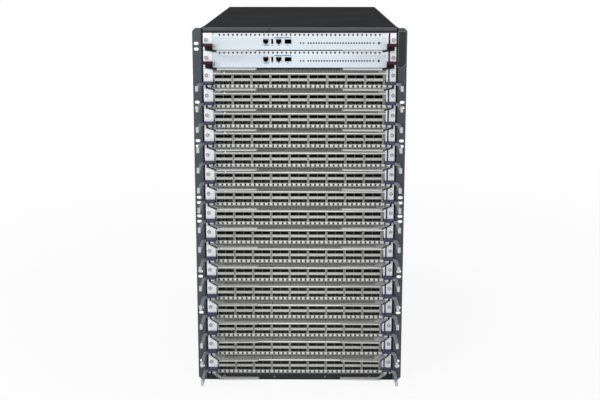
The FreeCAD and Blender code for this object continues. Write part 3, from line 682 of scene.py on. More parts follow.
def line_face():
    """The folded panel with its windows and indicator holes, the lip, the vent and the port cages."""
    form = Form()
    group_xs = spread(GROUPS, GROUP_PITCH, GROUP_SHIFT)
    half, window_top = WINDOW_WIDTH / 2, WINDOW_FLOOR + WINDOW_HEIGHT
    windows = [(x - half, WINDOW_FLOOR, x + half, window_top) for x in group_xs]
    lamp_xs = spread(LAMPS, LAMP_PITCH, GROUP_SHIFT)
    lamps = [hole(x, LAMP_Z, LAMP_SIDE, LAMP_SIDE) for x in lamp_xs]
    # A hole of no size: it only parts the plate's faces at the height where the finish changes.
    parting = (0, STRIP_TOP, 0, STRIP_TOP)
    form.plate((-FACE_HALF, CARD_GAP), (FACE_HALF, LIP_FLOOR), 0, GAUGE, windows + lamps + [parting], "sheet",
               pick=lambda x, z: "strip" if z < STRIP_TOP else "sheet")
    form.box((-FACE_HALF, -BAR_PROUD, CARD_GAP), (FACE_HALF, SUNK, STRIP_FLOOR), "sheet", 0.05)
    for x in lamp_xs:
        left, low, right, high = lens = hole(x, LAMP_Z, LENS_SIDE, LENS_SIDE)
        form.box((left, LENS_FRONT, low), (right, LENS_BACK, high), "lamp")
        form.plate((left - LENS_RIM, low - LENS_RIM), (right + LENS_RIM, high + LENS_RIM), -PRINT_PROUD, SUNK,
                   [lens], "black")
    add_lip(form)
    add_vent(form)
    for x in group_xs:
        add_cage(form, x)
    # Black strips near both ends of the face: painted shade of the recess between panel and end block.
    for side in (-1, 1):
        outer = FACE_HALF - RECESS_SHADE_GAP
        form.side_box(side, outer - RECESS_SHADE_WIDTH, outer, (-PRINT_PROUD, RECESS_SHADE_FLOOR), (SUNK, RECESS_SHADE_TOP), "black")
    form.box(CLIP_LOW, CLIP_HIGH, "block", 0.3)
    return form.mesh("line_face")


def add_lip(form):
    """A dark strip of painted shadow under the lip, over the windows, and the bright rounded lip above it."""
    shadow_top = LIP_FLOOR + LIP_SHADOW
    top = LIP_FLOOR + CARD_LIP
    under_vent = VENT_FLOOR + VENT_RISE * GAUGE / VENT_BACK - 2.0
    # The dark strip under the lip is painted shadow.
    form.box((-FACE_HALF, -0.5, LIP_FLOOR - 0.05), (FACE_HALF, GAUGE, shadow_top), "tab")
    lip = [
        (0, shadow_top), (-CARD_LIP_PROUD, shadow_top + 0.3), (-CARD_LIP_PROUD, top - 0.8),
        (-CARD_LIP_PROUD / 2, top - 0.2), (0, VENT_FLOOR), (GAUGE, under_vent), (GAUGE, shadow_top),
    ]
    form.extrude(lip, lambda y, z, x: (x, y, z), -FACE_HALF, FACE_HALF, "lip_metal")


class Slope:
    """A strip of sheet that leans back from a height: v runs up it and depth runs into it."""

    def __init__(self, floor, rise, back):
        self.floor, self.length = floor, hypot(rise, back)
        self.up = (0, back / self.length, rise / self.length)
        self.inward = (0, rise / self.length, -back / self.length)

    def at(self, x, v, depth=0.0):
        y = self.up[1] * v + self.inward[1] * depth
        return (x, y, self.floor + self.up[2] * v + self.inward[2] * depth)

    def slab(self, form, xs, vs, depths, finish):
        """A straight piece between two places across, two up the slope and two depths."""
        (low, high), (near, far) = vs, depths
        corners = ((low, near), (high, near), (high, far), (low, far))
        form.loft([[self.at(x, v, depth) for v, depth in corners] for x in xs], finish)

    def strip(self, form, band, columns, rows, pitch, gauge, radius, finish):
        """Rows of holes in a band of the slope, between plain margins and plain ends."""
        low, high = band
        half = columns * pitch / 2
        climb = tuple((high - low) / rows * part for part in self.up)
        depth = tuple(gauge * part for part in self.inward)
        form.sieve(self.at(-half, low), (pitch, 0, 0), climb, depth, columns, rows, radius, finish)
        across = (-FACE_HALF, FACE_HALF)
        margins = ((across, (0, low)), (across, (high, self.length)))
        ends = (((-FACE_HALF, -half), band), ((half, FACE_HALF), band))
        for xs, vs in margins + ends:
            self.slab(form, xs, vs, (0, gauge), finish)


def add_vent(form):
    """The vent strip, then the flange behind its top edge."""
    slope = Slope(VENT_FLOOR, VENT_RISE, VENT_BACK)
    band = (VENT_MARGIN, slope.length - VENT_MARGIN)
    slope.strip(form, band, VENT_COLUMNS, VENT_ROWS, VENT_PITCH, VENT_GAUGE, VENT_HOLE, "vent")
    top = VENT_FLOOR + VENT_RISE
    form.box((-FACE_HALF, VENT_BACK, top - GAUGE), (FACE_HALF, VENT_BACK + VENT_FLANGE, top), "sheet")


def add_cage(form, x):
    """Four sockets behind one window, with a bright mid band, edge boards, guide lips and insides darkened with
    painted shade.
    """
    half = WINDOW_WIDTH / 2 - CAGE_GAP
    low, high = BOARD_TOP, BOARD_TOP + WINDOW_HEIGHT - 2 * CAGE_GAP
    floors = (low + PORT_FLOOR, high - PORT_FLOOR - PORT_HEIGHT)
    columns = (x - PORT_WEB / 2 - PORT_WIDTH, x + PORT_WEB / 2)
    pockets = [(c, z, c + PORT_WIDTH, z + PORT_HEIGHT) for z in floors for c in columns]

    def finish_at(u, w):
        """The web between two sockets of a row is dark."""
        in_web = abs(u - x) < PORT_WEB / 2
        return "tab" if in_web and any(z < w < z + PORT_HEIGHT for z in floors) else "cage"

    # The pockets' walls take the dark port tint: painted shade.
    form.plate((x - half, low), (x + half, high), CAGE_GAP, CAGE_GAP + CAGE_DEPTH, pockets, "cage",
               pocket=PORT_DEPTH, inner="hollow", pick=finish_at)
    band_inset, band_proud, band_gap = 1.2, 0.55, 1.0
    edge_inset, edge_front, edge_floor, edge_top = 2.4, 16.0, 2.6, 3.7
    guide_inset, guide_front, guide_back, guide_rise = 4.6, 12.0, 14.0, 2.6
    band_floor, band_top = floors[0] + PORT_HEIGHT + band_gap, floors[1] - band_gap
    for left in columns:
        right = left + PORT_WIDTH
        low = (left + band_inset, -band_proud, band_floor)
        form.box(low, (right - band_inset, CAGE_GAP, band_top), "cage", 0.4)
        for z in floors:
            low = (left + edge_inset, edge_front, z + edge_floor)
            form.box(low, (right - edge_inset, PORT_DEPTH, z + edge_top), "black")
        low = (left + guide_inset, guide_front, floors[0])
        form.box(low, (right - guide_inset, guide_back, floors[0] + guide_rise), "tab")


# ---- card ends, hooks and insides

def add_captive(form, x, z):
    """A captive screw: a ferrule ring, a dark disc of painted shadow round the head, a round head and a cross
    recess drawn in black as painted shade.
    """
    front = -BLOCK_PROUD - CAPTIVE_HEIGHT
    bore = CAPTIVE_RADIUS - 1.0
    form.ring((x, z), CAPTIVE_RADIUS, bore, -BLOCK_PROUD, front + 1.2, "screw", 32)
    # A dark disc behind the ring: painted shadow round the head.
    form.rod((x, z), bore - SUNK, -BLOCK_PROUD - 0.3, -BLOCK_PROUD + 0.1, "tab", sides=32, chamfer=0.05)
    form.rod((x, z), CAPTIVE_RADIUS - 2.0, front, -BLOCK_PROUD, "screw", sides=32, chamfer=0.5)
    # The cross recess is drawn as black bars: painted shade.
    for wide, tall in ((CROSS_LENGTH, CROSS_WIDTH), (CROSS_WIDTH, CROSS_LENGTH)):
        left, low, right, high = hole(x, z, wide, tall)
        form.box((left, front - 0.04, low), (right, front + 0.3, high), "black")


def card_ends(top, accent, pin_finish):
    """Blocks, bands, screws and lever pins at both ends, with the stripe on the right."""
    form = Form()
    for side in (-1, 1):
        low, high = (-BLOCK_PROUD, BAND_TOP), (BLOCK_DEPTH, top - CARD_GAP)
        form.side_box(side, FACE_HALF, CARD_HALF, low, high, "block", 0.6)
        low, high = (-BAND_PROUD, BAND_FLOOR), (BAND_BACK, BAND_TOP - SUNK)
        form.side_box(side, FACE_HALF, CARD_HALF, low, high, accent, 0.8)
        add_captive(form, side * CAPTIVE_X, top - CAPTIVE_DROP)
        low, high = (-BLOCK_PROUD, CARD_GAP), (GAUGE, BAND_FLOOR)
        form.side_box(side, CARD_HALF - CHEEK_WIDTH, CARD_HALF, low, high, "block", 0.4)
        pin = [(LEVER_FLOOR, PIN_RADIUS), (BAND_FLOOR, PIN_RADIUS)]
        form.turned((side * PIVOT_X, -PIVOT_PROUD), pin, pin_finish, "z", 16)
    stripe_low = (STRIPE_X, -BLOCK_PROUD - STRIPE_GAUGE, BAND_TOP)
    form.box(stripe_low, (STRIPE_X + STRIPE_WIDTH, -BLOCK_PROUD, top - CARD_GAP), accent, 0.1)
    return form


def add_hooks(form):
    """A flat bar on each side that flares out, falls towards its end and turns up."""
    def level(y):
        fall = HOOK_DROP * (-y - HOOK_ROOT_GAP) / (HOOK_REACH - HOOK_ROOT_GAP)
        return BAND_FLOOR - fall

    tip_back = TIP_OVERLAP - HOOK_REACH
    stations = (
        (-HOOK_ROOT_GAP, 0.0, HOOK_GAUGE - 0.5), (-BAND_PROUD, 0.0, HOOK_GAUGE),
        (2 - HOOK_BEND, HOOK_FLARE * 0.85, HOOK_GAUGE), (-HOOK_BEND - 1, HOOK_FLARE, HOOK_GAUGE),
        (tip_back, HOOK_FLARE, HOOK_GAUGE),
    )
    for side in (-1, 1):
        rings = []
        for y, out, thick in stations:
            inner, outer = side * (CARD_HALF + out), side * (CARD_HALF + out + thick)
            low, high = level(y), level(y) + HOOK_DEPTH
            rings.append([(inner, y, low), (outer, y, low), (outer, y, high), (inner, y, high)])
        form.loft(rings[:2], "navy")
        form.loft(rings[1:], "hook")
        inner, outer = CARD_HALF + HOOK_FLARE, CARD_HALF + HOOK_FLARE + HOOK_GAUGE
        z = level(-HOOK_REACH)
        form.side_box(side, inner, outer, (-HOOK_REACH, z), (tip_back, z + HOOK_DEPTH), "hook_tip", 0.3)
        low, high = (-HOOK_REACH, z + HOOK_DEPTH - 0.2), (HOOK_TIP_GAUGE - HOOK_REACH, z + HOOK_TIP_RISE)
        form.side_box(side, inner, outer, low, high, "hook_tip", 0.4)


def add_sinks(form):
    """Heat sinks on the board, each a base with upright fins."""
    front, back = SINK_SETBACK, SINK_SETBACK + SINK_DEPTH
    fin_floor = BOARD_TOP + SINK_BASE
    for x in spread(SINKS, SINK_PITCH):
        left = x - SINK_WIDTH / 2
        form.box((left, front, BOARD_TOP), (x + SINK_WIDTH / 2, back, fin_floor), "sink")
        for k in range(FINS):
            fin = left + k * (SINK_WIDTH - FIN_GAUGE) / (FINS - 1)
            form.box((fin, front, fin_floor), (fin + FIN_GAUGE, back, fin_floor + FIN_HEIGHT), "sink")


def add_chips(form):
    """Small packages on the board behind the heat sinks and between them and the cages."""
    for front, back in CHIP_FIELDS:
        for _ in range(CHIPS):
            x, y = CHANCE.uniform(-CHIP_REACH, CHIP_REACH), CHANCE.uniform(front, back - CHIP_ROOM)
            wide, deep, tall = CHANCE.choice(CHIP_KINDS)
            form.box((x, y, BOARD_TOP), (x + wide, y + deep, BOARD_TOP + tall), "black")


def card_inside():
    """The tray, its board on posts, heat sinks, small packages and the rear connectors."""
    form = Form()
    back = CARD_DEPTH - MATE_DEPTH
    form.box((-TRAY_HALF, GAUGE, TRAY_FLOOR), (TRAY_HALF, back, TRAY_FLOOR + TRAY_GAUGE), "tray")
    low, high = (BLOCK_DEPTH + GAUGE, TRAY_FLOOR), (back, TRAY_FLOOR + TRAY_SIDE)
    for side in (-1, 1):
        form.side_box(side, TRAY_HALF - TRAY_GAUGE, TRAY_HALF, low, high, "tray")
    form.box((-BOARD_HALF, GAUGE + 3, BOARD_TOP - BOARD_GAUGE), (BOARD_HALF, back - 0.5, BOARD_TOP), "board")
    post = [(TRAY_FLOOR + TRAY_GAUGE, POST_RADIUS), (BOARD_TOP - BOARD_GAUGE, POST_RADIUS)]
    for x in spread(3, TRAY_HALF - 20):
        for y in (40, back - 30):
            form.turned((x, y), post, "screw", "z", 6)
    add_sinks(form)
    add_chips(form)
    for x in spread(MATES, MATE_PITCH):
        low = (x - MATE_WIDTH / 2, back - 5, BOARD_TOP)
        form.box(low, (x + MATE_WIDTH / 2, CARD_DEPTH, BOARD_TOP + MATE_HEIGHT), "black")
    return form.mesh("card_inside")


# ---- controller card face

def controller_face():
    """The plain panel with its sockets, indicator dots and printed marks, under a strip of small holes."""
    form = Form()
    button = BUTTON_RADIUS + BUTTON_GAP
    openings = [
        *(hole(x, SOCKET_Z, JACK_WIDTH, JACK_HEIGHT) for x in JACKS),
        hole(USB_X, SOCKET_Z, USB_WIDTH, USB_HEIGHT),
        hole(SFP_X, SOCKET_Z, SFP_WIDTH, SFP_HEIGHT),
        hole(BUTTON_X, BUTTON_Z, 2 * button, 2 * button),
    ]
    form.plate((-FACE_HALF, CARD_GAP), (FACE_HALF, CONTROL_FOLD), 0, GAUGE, openings, "controller")
    form.box((-FACE_HALF, -BAR_PROUD, CARD_GAP), (FACE_HALF, SUNK, EDGE_TOP), "black", 0.05)
    add_control_strip(form)
    add_sockets(form)
    for x in (*DOTS_LEFT, *spread(DOTS, DOT_PITCH, DOTS_MIDDLE), DOT_RIGHT):
        form.rod((x, BUTTON_Z), DOT_RADIUS, -0.12, 0.5, "lamp", sides=12, chamfer=0.1)
    form.ring((BUTTON_X, BUTTON_Z), button * 1.42, button, -0.2, GAUGE, "controller", 28)
    for left, right, z in MARKS:
        form.box((left, -0.08, z - MARK_HALF), (right, 0.05, z + MARK_HALF), "mark")
    return form.mesh("controller_face")


def add_control_strip(form):
    """The leaning top strip with one row of holes over a black sheet of painted shade, then the flange behind it.
    """
    slope = Slope(CONTROL_FOLD, CONTROL_RISE, CONTROL_BACK)
    middle = HOLE_RISE * slope.length / CONTROL_RISE
    band = (middle - HOLE_BAND / 2, middle + HOLE_BAND / 2)
    slope.strip(form, band, HOLES, 1, HOLE_PITCH, CONTROL_GAUGE, HOLE_RADIUS, "controller_top")
    half = HOLES * HOLE_PITCH / 2
    # A black sheet behind the holes: painted shade, so that the holes read dark.
    slope.slab(form, (-half, half), band, (CONTROL_GAUGE, CONTROL_GAUGE + SHADE_BACKING), "cavity")
    top, back = CONTROL_FOLD + CONTROL_RISE, CONTROL_BACK + CONTROL_FLANGE
    form.box((-FACE_HALF, CONTROL_BACK, top - GAUGE), (FACE_HALF, back, top), "controller")


def add_sockets(form):
    """Two network jacks, an upright serial slot and a cage for a small transceiver."""
    def housing(x, wide, tall, deep, finish):
        """A hollow case around an opening, standing on the board; gives back the opening's edges."""
        space = hole(x, SOCKET_Z, wide, tall)
        low, high = (space[0] - SOCKET_WALL, BOARD_TOP), (space[2] + SOCKET_WALL, space[3] + SOCKET_WALL)
        end = GAUGE + deep
        # The housing's inside is painted near-black: painted shade.
        form.plate(low, high, GAUGE, end + SOCKET_WALL, [space], finish, pocket=end, inner="cavity")
        return space

    jack_back = GAUGE + JACK_DEPTH
    for x in JACKS:
        left, low, right, high = space = housing(x, JACK_WIDTH, JACK_HEIGHT, JACK_DEPTH, "screw")
        rim_low, rim_high = (left - JACK_RIM, low - JACK_SILL), (right + JACK_RIM, high + JACK_RIM)
        form.plate(rim_low, rim_high, -JACK_PROUD, SUNK, [space], "screw")
        for outer, inner in ((left, left + WEDGE_WIDTH), (right, right - WEDGE_WIDTH)):
            wedge = [(outer, low), (inner, low), (outer, low + WEDGE_RISE)]
            form.extrude(wedge, lambda u, w, t: (u, t, w), 0.1, jack_back - 1, "screw")
        ceiling = high - JACK_LATCH
        form.box((left, 0.5, ceiling), (right, GAUGE + 3, high), "tab")
        for contact in spread(CONTACTS, CONTACT_PITCH, x):
            form.box((contact - 0.2, 3.0, ceiling - 0.6), (contact + 0.2, 11.0, ceiling), "gold")
    housing(USB_X, USB_WIDTH, USB_HEIGHT, JACK_DEPTH, "screw")
    low, high = SOCKET_Z - TONGUE_HALF, SOCKET_Z + TONGUE_HALF
    form.box((USB_X - 0.9, 2.0, low), (USB_X + 0.5, jack_back, high), "black")
    left, low, right, high = space = housing(SFP_X, SFP_WIDTH, SFP_HEIGHT, SFP_DEPTH, "cage")
    rim_low, rim_high = (left - SFP_RIM, low - SFP_RIM), (right + SFP_RIM, high + SFP_RIM)
    form.plate(rim_low, rim_high, -SFP_PROUD, SUNK, [space], "cage")


# ---- levers

def lever_mesh(name, side, crank):
    """The ejector lever about its pivot: a cranked plate, a long arm, a root block and a round hub."""
    form = Form()
    elbow, bend, end = CRANK_OUT - LEVER_BEND, CRANK_OUT + LEVER_BEND, LEVER_REACH - LEVER_BEND
    joint = -ARM_PROUD - ARM_DEPTH + (ARM_DEPTH - TIP_DEPTH) * (bend - elbow) / (LEVER_REACH - CRANK_OUT)
    crank_outline = [
        (HUB_RADIUS * 0.4, HUB_RADIUS), (LEVER_ROOT, HUB_RADIUS), (LEVER_ROOT + 1, -HUB_RADIUS - 2),
        (CRANK_OUT - 0.6, 1.6 - ARM_PROUD), (bend, -ARM_PROUD), (bend, joint),
        (elbow, -ARM_PROUD - ARM_DEPTH), (0, -2 * HUB_RADIUS),
    ]
    arm_outline = [
        (bend, -ARM_PROUD), (LEVER_REACH, -ARM_PROUD), (end, -ARM_PROUD - TIP_DEPTH), (bend, joint),
    ]

    def at(x, y, z):
        return (side * x, y, z)

    top = LEVER_FLOOR + LEVER_GAUGE
    form.extrude(crank_outline, at, LEVER_FLOOR, top, crank, (2, 6))
    form.extrude(arm_outline, at, LEVER_FLOOR, top, "lever")
    rings = []
    for z, left, right in ((top, 0.0, ROOT_FOOT), (LEVER_ROOT_TOP, -HUB_RADIUS * 0.6, LEVER_ROOT)):
        plan = ((0.0, HUB_RADIUS), (right, HUB_RADIUS), (right, -HUB_RADIUS), (left, -HUB_RADIUS))
        rings.append([at(x, y, z) for x, y in plan])
    form.loft(rings, "black")
    # On line cards the plate on the root's front takes the pale block paint: a painted reflection of the floor on
    # bright steel.
    sunk, proud = 0.1 - HUB_RADIUS, -HUB_RADIUS - 0.4
    rings = []
    for z, left, right in ((top + 0.2, 0.2, ROOT_FOOT), (LEVER_ROOT_TOP - 0.3, -1.2, LEVER_ROOT - 1.6)):
        rings.append([at(x, y, z) for x, y in ((left, sunk), (right, sunk), (right, proud), (left, proud))])
    form.loft(rings, "block" if crank == "lever" else crank)
    hub = [(LEVER_FLOOR + 0.01, HUB_RADIUS - 0.01), (LEVER_ROOT_TOP - 0.01, HUB_RADIUS - 0.01)]
    form.turned((0, 0), hub, "black", "z", 28)
    return form.mesh(name, 0.35)


# ---- chassis

def slot_floor(card):
    """The floor of a card's slot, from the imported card's lowest point."""
    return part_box(card)[0][2] / MM - CARD_GAP


def chassis_body():
    """Walls, covers, black strips of painted shadow beside the ears, the two-tone lip, the sill and the guide
    rails.
    """
    form = Form()
    for side in (-1, 1):
        form.side_box(side, INNER, BODY_HALF, (FRONT, 0), (BACK, HEIGHT), "chassis", 0.3)
    form.box((-INNER, FRONT + LIP_DEPTH, HEIGHT - WALL), (INNER, BACK, HEIGHT), "chassis")
    form.box((-INNER, FRONT, 0), (INNER, BACK, WALL), "chassis")
    form.box((-INNER, FRONT, WALL), (INNER, FRONT + SILL_DEPTH, SILL_HEIGHT), "chassis", 0.5)
    # Black strips on the walls' front edges beside the ears: painted shadow of the gap between ear and wall.
    for side in (-1, 1):
        low, high = (FRONT - 0.12, 0.5), (FRONT + 0.5, HEIGHT - 0.5)
        form.side_box(side, INNER - 0.1, BODY_HALF + 1.6, low, high, "black")
    for left, right in ((-INNER, LIP_SEAM - SEAM_WIDTH / 2), (LIP_SEAM + SEAM_WIDTH / 2, INNER)):
        form.box((left, FRONT, HEIGHT - LIP_BRIGHT), (right, FRONT + LIP_DEPTH, HEIGHT), "lip", 0.7)
    low = (-INNER, FRONT + LIP_SETBACK, HEIGHT - LIP_HEIGHT)
    form.box(low, (INNER, FRONT + LIP_DEPTH, HEIGHT - LIP_BRIGHT), "chassis")
    for card in CARDS:
        rail_top = slot_floor(card) + RAIL_RISE
        for left, right in ((-INNER, RAIL_WIDTH - INNER), (INNER - RAIL_WIDTH, INNER)):
            low = (left, FRONT + RAIL_SETBACK, rail_top - RAIL_GAUGE)
            form.box(low, (right, FRONT + CARD_DEPTH - MATE_DEPTH, rail_top), "rail")
    return form


def add_shelves(form):
    """The shelf over the power supplies and the one between the two rows of fan modules."""
    for row in range(REAR_ROWS):
        z = SHELF_BELOW + row * (REAR_BAY + WALL)
        form.box((-INNER, BACK - MODULE_DEPTH, z), (INNER, BACK, z + WALL), "chassis")


def sill_trim():
    """The screws and the earth socket in the front sill."""
    form = Form()
    middle = SILL_HEIGHT / 2
    for x in SILL_SCREWS:
        form.rod((x, middle), SCREW_RADIUS, FRONT - 1.25, FRONT, "rail", chamfer=0.4)
    form.rod((SILVER_SCREW_X, middle), SCREW_RADIUS + 0.6, FRONT - 1.4, FRONT, "screw", chamfer=0.4)
    form.ring((EARTH_X, middle), EARTH_RADIUS + 0.2, EARTH_BORE - 0.1, FRONT - 1.4, FRONT, "gold", 28)
    return form.mesh("sill_trim")


def name_plate():
    """The bare plate on the right ear, dark, with a pale rim of painted edge highlight."""
    form = Form()
    left, right = BODY_HALF + 1, BODY_HALF + 1 + PLATE_WIDTH
    top = HEIGHT - PLATE_TOP_GAP
    floor = top - PLATE_HEIGHT
    face = FRONT - PLATE_GAUGE

    def outline(inset):
        bevel = PLATE_BEVEL + inset * 0.4
        return [
            (left + inset, floor + inset), (right - bevel, floor + inset), (right - inset, floor + bevel),
            (right - inset, top - inset), (left + inset, top - inset),
        ]

    def place(x, z, y):
        return (x, y, z)

    # A pale rim standing out round the dark face: painted edge highlight.
    form.extrude(outline(-0.03), place, face - SUNK, FRONT, "plate_edge")
    form.extrude(outline(0.9), place, face - 0.14, face + 0.2, "plate")
    return form.mesh("name_plate")


def rivets():
    """Flat rivet heads along both side walls and the ears' legs."""
    form = Form()
    for side in (-1, 1):
        for y in (FRONT + 30, FRONT + 300, BACK - 240, BACK - 16):
            wall = side * (BODY_HALF + (EAR_GAUGE if y < FRONT + EAR_LEG else 0.0))
            root, face = wall - side * 0.3, wall + side * 0.7
            stations = ((root, RIVET_RADIUS), (face - side * 0.25, RIVET_RADIUS), (face, RIVET_FACE))
            for z in spread(9, 95.0, HEIGHT / 2):
                rings = [[(x, y + u, z + v) for u, v in circle(radius, 14)] for x, radius in stations]
                form.loft(rings, "rail")
    return form.mesh("rivets")


def fan_guard(form, x, z, face):
    """Concentric wire rings on four spokes over a dark rotor with seven blades."""
    for radius in GUARD_RINGS:
        form.ring((x, z), radius, radius - 1.6, face - 1.4, face + 0.2, "screw", 40)
    for k in range(4):
        a = pi / 4 + pi / 2 * k
        c, s = cos(a), sin(a)
        near, far, half = SPOKE
        corners = ((near, -half), (far, -half), (far, half), (near, half))
        spoke = [(x + c * r - s * w, z + s * r + c * w) for r, w in corners]
        form.extrude(spoke, lambda u, w, t: (u, t, w), face - 1.7, face - 0.3, "screw")
    form.rod((x, z), ROTOR_RADIUS, face - 4.2, face - 2.2, "rotor", sides=32, chamfer=0.8)
    for k in range(BLADES):
        add_blade(form, x, z, face, tau * k / BLADES)


def add_blade(form, x, z, face, start):
    """A thin blade that twists as it runs out from the rotor and narrows a little."""
    rings = []
    for step in range(5):
        radius = 17 + 7.6 * step
        twist = start + 0.09 * step
        width = 0.30 - 0.02 * step
        corners = ((-width, 2.4), (width, 4.6), (width, 5.2), (-width, 3.0))
        places = [(turn(radius, twist + offset), depth) for offset, depth in corners]
        rings.append([(x + u, face - depth, z + v) for (u, v), depth in places])
    form.loft(rings, "rotor")


def rear_trim():
    """Fan guards, rotors and mains inlets on the rear modules."""
    form = Form()
    wide = (2 * INNER - (REAR_COLUMNS + 1) * REAR_GAP) / REAR_COLUMNS
    tall = REAR_BAY - 2 * REAR_GAP
    for row in range(REAR_ROWS):
        floor = SHELF_BELOW + WALL + REAR_GAP / 3 + row * (REAR_BAY + WALL)
        for column in range(REAR_COLUMNS):
            x = -INNER + REAR_GAP + column * (wide + REAR_GAP) + wide / 2
            for z in spread(2, FAN_PITCH, floor + tall / 2):
                fan_guard(form, x, z, BACK)
            for sx in (-1, 1):
                for sz in (-1, 1):
                    at = (x + sx * (wide / 2 - 9), floor + tall / 2 + sz * (REAR_BAY / 2 - 12))
                    form.rod(at, 4.2, BACK + 3.4, BACK, "screw", sides=24, chamfer=0.5)
    supply = (2 * INNER - (SUPPLIES + 1) * REAR_GAP) / SUPPLIES
    for number in range(SUPPLIES):
        left = -INNER + REAR_GAP + number * (supply + REAR_GAP)
        x, vent_x = left + supply * 0.72, left + supply * 0.3
        z = WALL + REAR_GAP / 3 + SUPPLY_HEIGHT / 2 + INLET / 2
        low, high = (x - 13.8, z - 13.8), (x + 13.8, z + 13.8)
        form.plate(low, high, BACK - 5.9, BACK - 0.2, [hole(x, z, 22, 16)], "black")
        form.ring((vent_x, z), 17, 15.4, BACK - 0.2, BACK + 0.6, "rail", 32)
        # Black bars on the supply faces: painted shade of vent slots.
        for slot_z in spread(5, 5, z):
            form.box((vent_x - 11, BACK - 0.1, slot_z - 1), (vent_x + 11, BACK + 0.3, slot_z + 1), "cavity")
    return form.mesh("rear_trim")


# ---- assembly

def recolour(node_name, finish):
    """Gives a carried-over node its finish."""
    obj = bpy.data.objects[node_name]
    obj.data.materials.clear()
    obj.data.materials.append(PAINT[finish])


def build_chassis():
    """The dressed chassis with its trim."""
    shell = chassis_body()
    add_shelves(shell)
    bodies = record["behaviour"]["bodies"]
    chassis = next(name for name, nodes in bodies.items() if "chassis_shell" in nodes)
    piece = show("chassis_body", shell.mesh("chassis_body"), chassis)
    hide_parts("chassis_shell")
    for name, mesh in (("sill_trim", sill_trim()), ("name_plate", name_plate()), ("rivets", rivets())):
        show(name, mesh, chassis, smooth=40)
    show("rear_trim", rear_trim(), chassis, smooth=40)


def build_cards():
    """The dressed cards and levers; those of one kind share a mesh."""
    faces = {"line": line_face(), "controller": controller_face()}
    inside = card_inside()
    line_ends = card_ends(LINE_PITCH, "navy", "lever")
    add_hooks(line_ends)
    controller_ends = card_ends(CONTROLLER_PITCH, "maroon", "black")
    ends = {"line": line_ends.mesh("line_ends"), "controller": controller_ends.mesh("controller_ends")}
    levers = {
        (kind, hand): lever_mesh(f"{kind}_lever_{hand}", side, crank)
        for kind, crank in (("line", "lever"), ("controller", "black"))
        for hand, side in (("left", 1), ("right", -1))
    }
    for card in CARDS:
        kind = card.split("_")[0]
        floor = slot_floor(card)
        at = (0, FRONT, floor)
        face = show(card + "_face", faces[kind], card, at)
        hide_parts(card)
        show(card + "_ends", ends[kind], card, at, smooth=35)
        show(card + "_inside", inside, card, at)
        for side in ("left", "right"):
            lever = f"{card.replace('card', 'lever')}_{side}"
            pivot = joints[lever + "_pivot"]["pos_m"]
            pin = (pivot[0] / MM, pivot[1] / MM, floor)
            arm = show(lever + "_arm", levers[kind, side], lever, pin, smooth=30)
            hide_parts(lever)


def recolour_rest():
    """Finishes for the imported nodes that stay."""
    recolour("rack_ears", "ear")
    recolour("midplane", "board")
    recolour("rear_modules", "module")
    for name in frame["nodes"]:
        if name.startswith("reset_button"):
            recolour(name, "black")


# ---- stage, light and camera

def stage_floor():
    """A wide pale floor that stays white to the camera and keeps a soft shadow."""
    mesh = bpy.data.meshes.new("floor")
    reach, depth = 14.0, -0.0015
    corners = [(-reach, -reach, depth), (reach, -reach, depth), (reach, reach, depth), (-reach, reach, depth)]
    mesh.from_pydata(corners, [], [(0, 1, 2, 3)])
    floor = new_object("floor", mesh)
    material, tree, shader = start("floor_pale")
    shader.inputs["Roughness"].default_value = 0.9
    shader.inputs["Specular IOR Level"].default_value = 0.1
    tint = vary(tree, pattern(tree, 3.0), (0.9, 0.9, 0.9), (0.93, 0.93, 0.93))
    feed(tree, shader.inputs["Base Color"], tint)
    glow = node(tree, "Emission", {"Color": (1, 1, 1, 1), "Strength": 1.0})
    seen = node(tree, "LightPath").outputs["Is Camera Ray"]
    place = node(tree, "TexCoord").outputs["Object"]
    away = node(tree, "VectorMath", {0: place}, operation="LENGTH").outputs["Value"]
    settings = {"Value": away, "From Min": 0.5, "From Max": 2.6, "To Min": 0.9, "To Max": 1.0}
    fade = node(tree, "MapRange", settings).outputs["Result"]
    share = node(tree, "Math", {0: seen, 1: fade}, operation="MULTIPLY").outputs[0]
    mix = node(tree, "MixShader", {"Fac": share, 1: shader.outputs["BSDF"], 2: glow.outputs["Emission"]})
    feed(tree, tree.nodes["Material Output"].inputs["Surface"], mix.outputs["Shader"])
    mesh.materials.append(material)


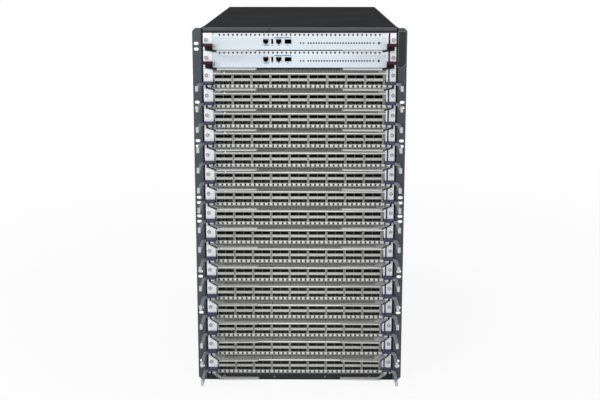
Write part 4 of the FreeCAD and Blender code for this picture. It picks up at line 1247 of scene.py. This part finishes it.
def lamp(name, at, aim, size, power):
    """A soft box light aimed at a place."""
    light = bpy.data.lights.new(name, "AREA")
    light.shape, light.energy = "RECTANGLE", power
    light.size, light.size_y = size
    piece = new_object(name, light)
    piece.location = at
    piece.rotation_euler = (Vector(aim) - Vector(at)).to_track_quat("-Z", "Y").to_euler()


def studio():
    """A white world to the camera, a softer one to the object, and three lamps."""
    world = bpy.data.worlds.new("studio")
    world.use_nodes = True
    tree = world.node_tree
    soft = tree.nodes["Background"]
    soft.inputs["Color"].default_value = (0.98, 0.99, 1.0, 1)
    soft.inputs["Strength"].default_value = 0.56
    white = node(tree, "Background", {"Color": (1, 1, 1, 1), "Strength": 1.0})
    seen = node(tree, "LightPath").outputs
    rays = {0: seen["Is Glossy Ray"], 1: seen["Is Transmission Ray"]}
    glossy = node(tree, "Math", rays, operation="MAXIMUM").outputs[0]
    shown = node(tree, "Math", {0: seen["Is Camera Ray"], 1: glossy}, operation="MAXIMUM").outputs[0]
    ends = {1: soft.outputs["Background"], 2: white.outputs["Background"]}
    mix = node(tree, "MixShader", {"Fac": shown, **ends})
    feed(tree, tree.nodes["World Output"].inputs["Surface"], mix.outputs["Shader"])
    bpy.context.scene.world = world
    lamp("key", (-2.0, -3.0, 1.6), (0, -0.4, 0.5), (2.2, 1.6), 62)
    lamp("fill", (2.4, -2.6, 1.6), (0, -0.4, 0.4), (2.0, 2.0), 11)
    lamp("top", (0.0, 0.3, 3.0), (0, 0, 0.8), (2.4, 1.8), 15)
    bpy.context.scene.view_settings.view_transform = "Standard"


def camera():
    """Straight on, a little above the top cover, looking slightly down."""
    data = bpy.data.cameras.new("camera")
    data.sensor_width = 36.0
    data.lens = 62.2
    data.shift_y = -0.08
    data.clip_end = 50.0
    piece = new_object("camera", data)
    side, away, rise, pitch, yaw = 0.0198, 2.33, 1.0131, 11.123, -0.467
    piece.location = (side, FRONT * MM - away, rise)
    piece.rotation_euler = Euler((radians(90 - pitch), 0, radians(-yaw)))
    bpy.context.scene.camera = piece


build_chassis()
build_cards()
recolour_rest()
stage_floor()
studio()
camera()
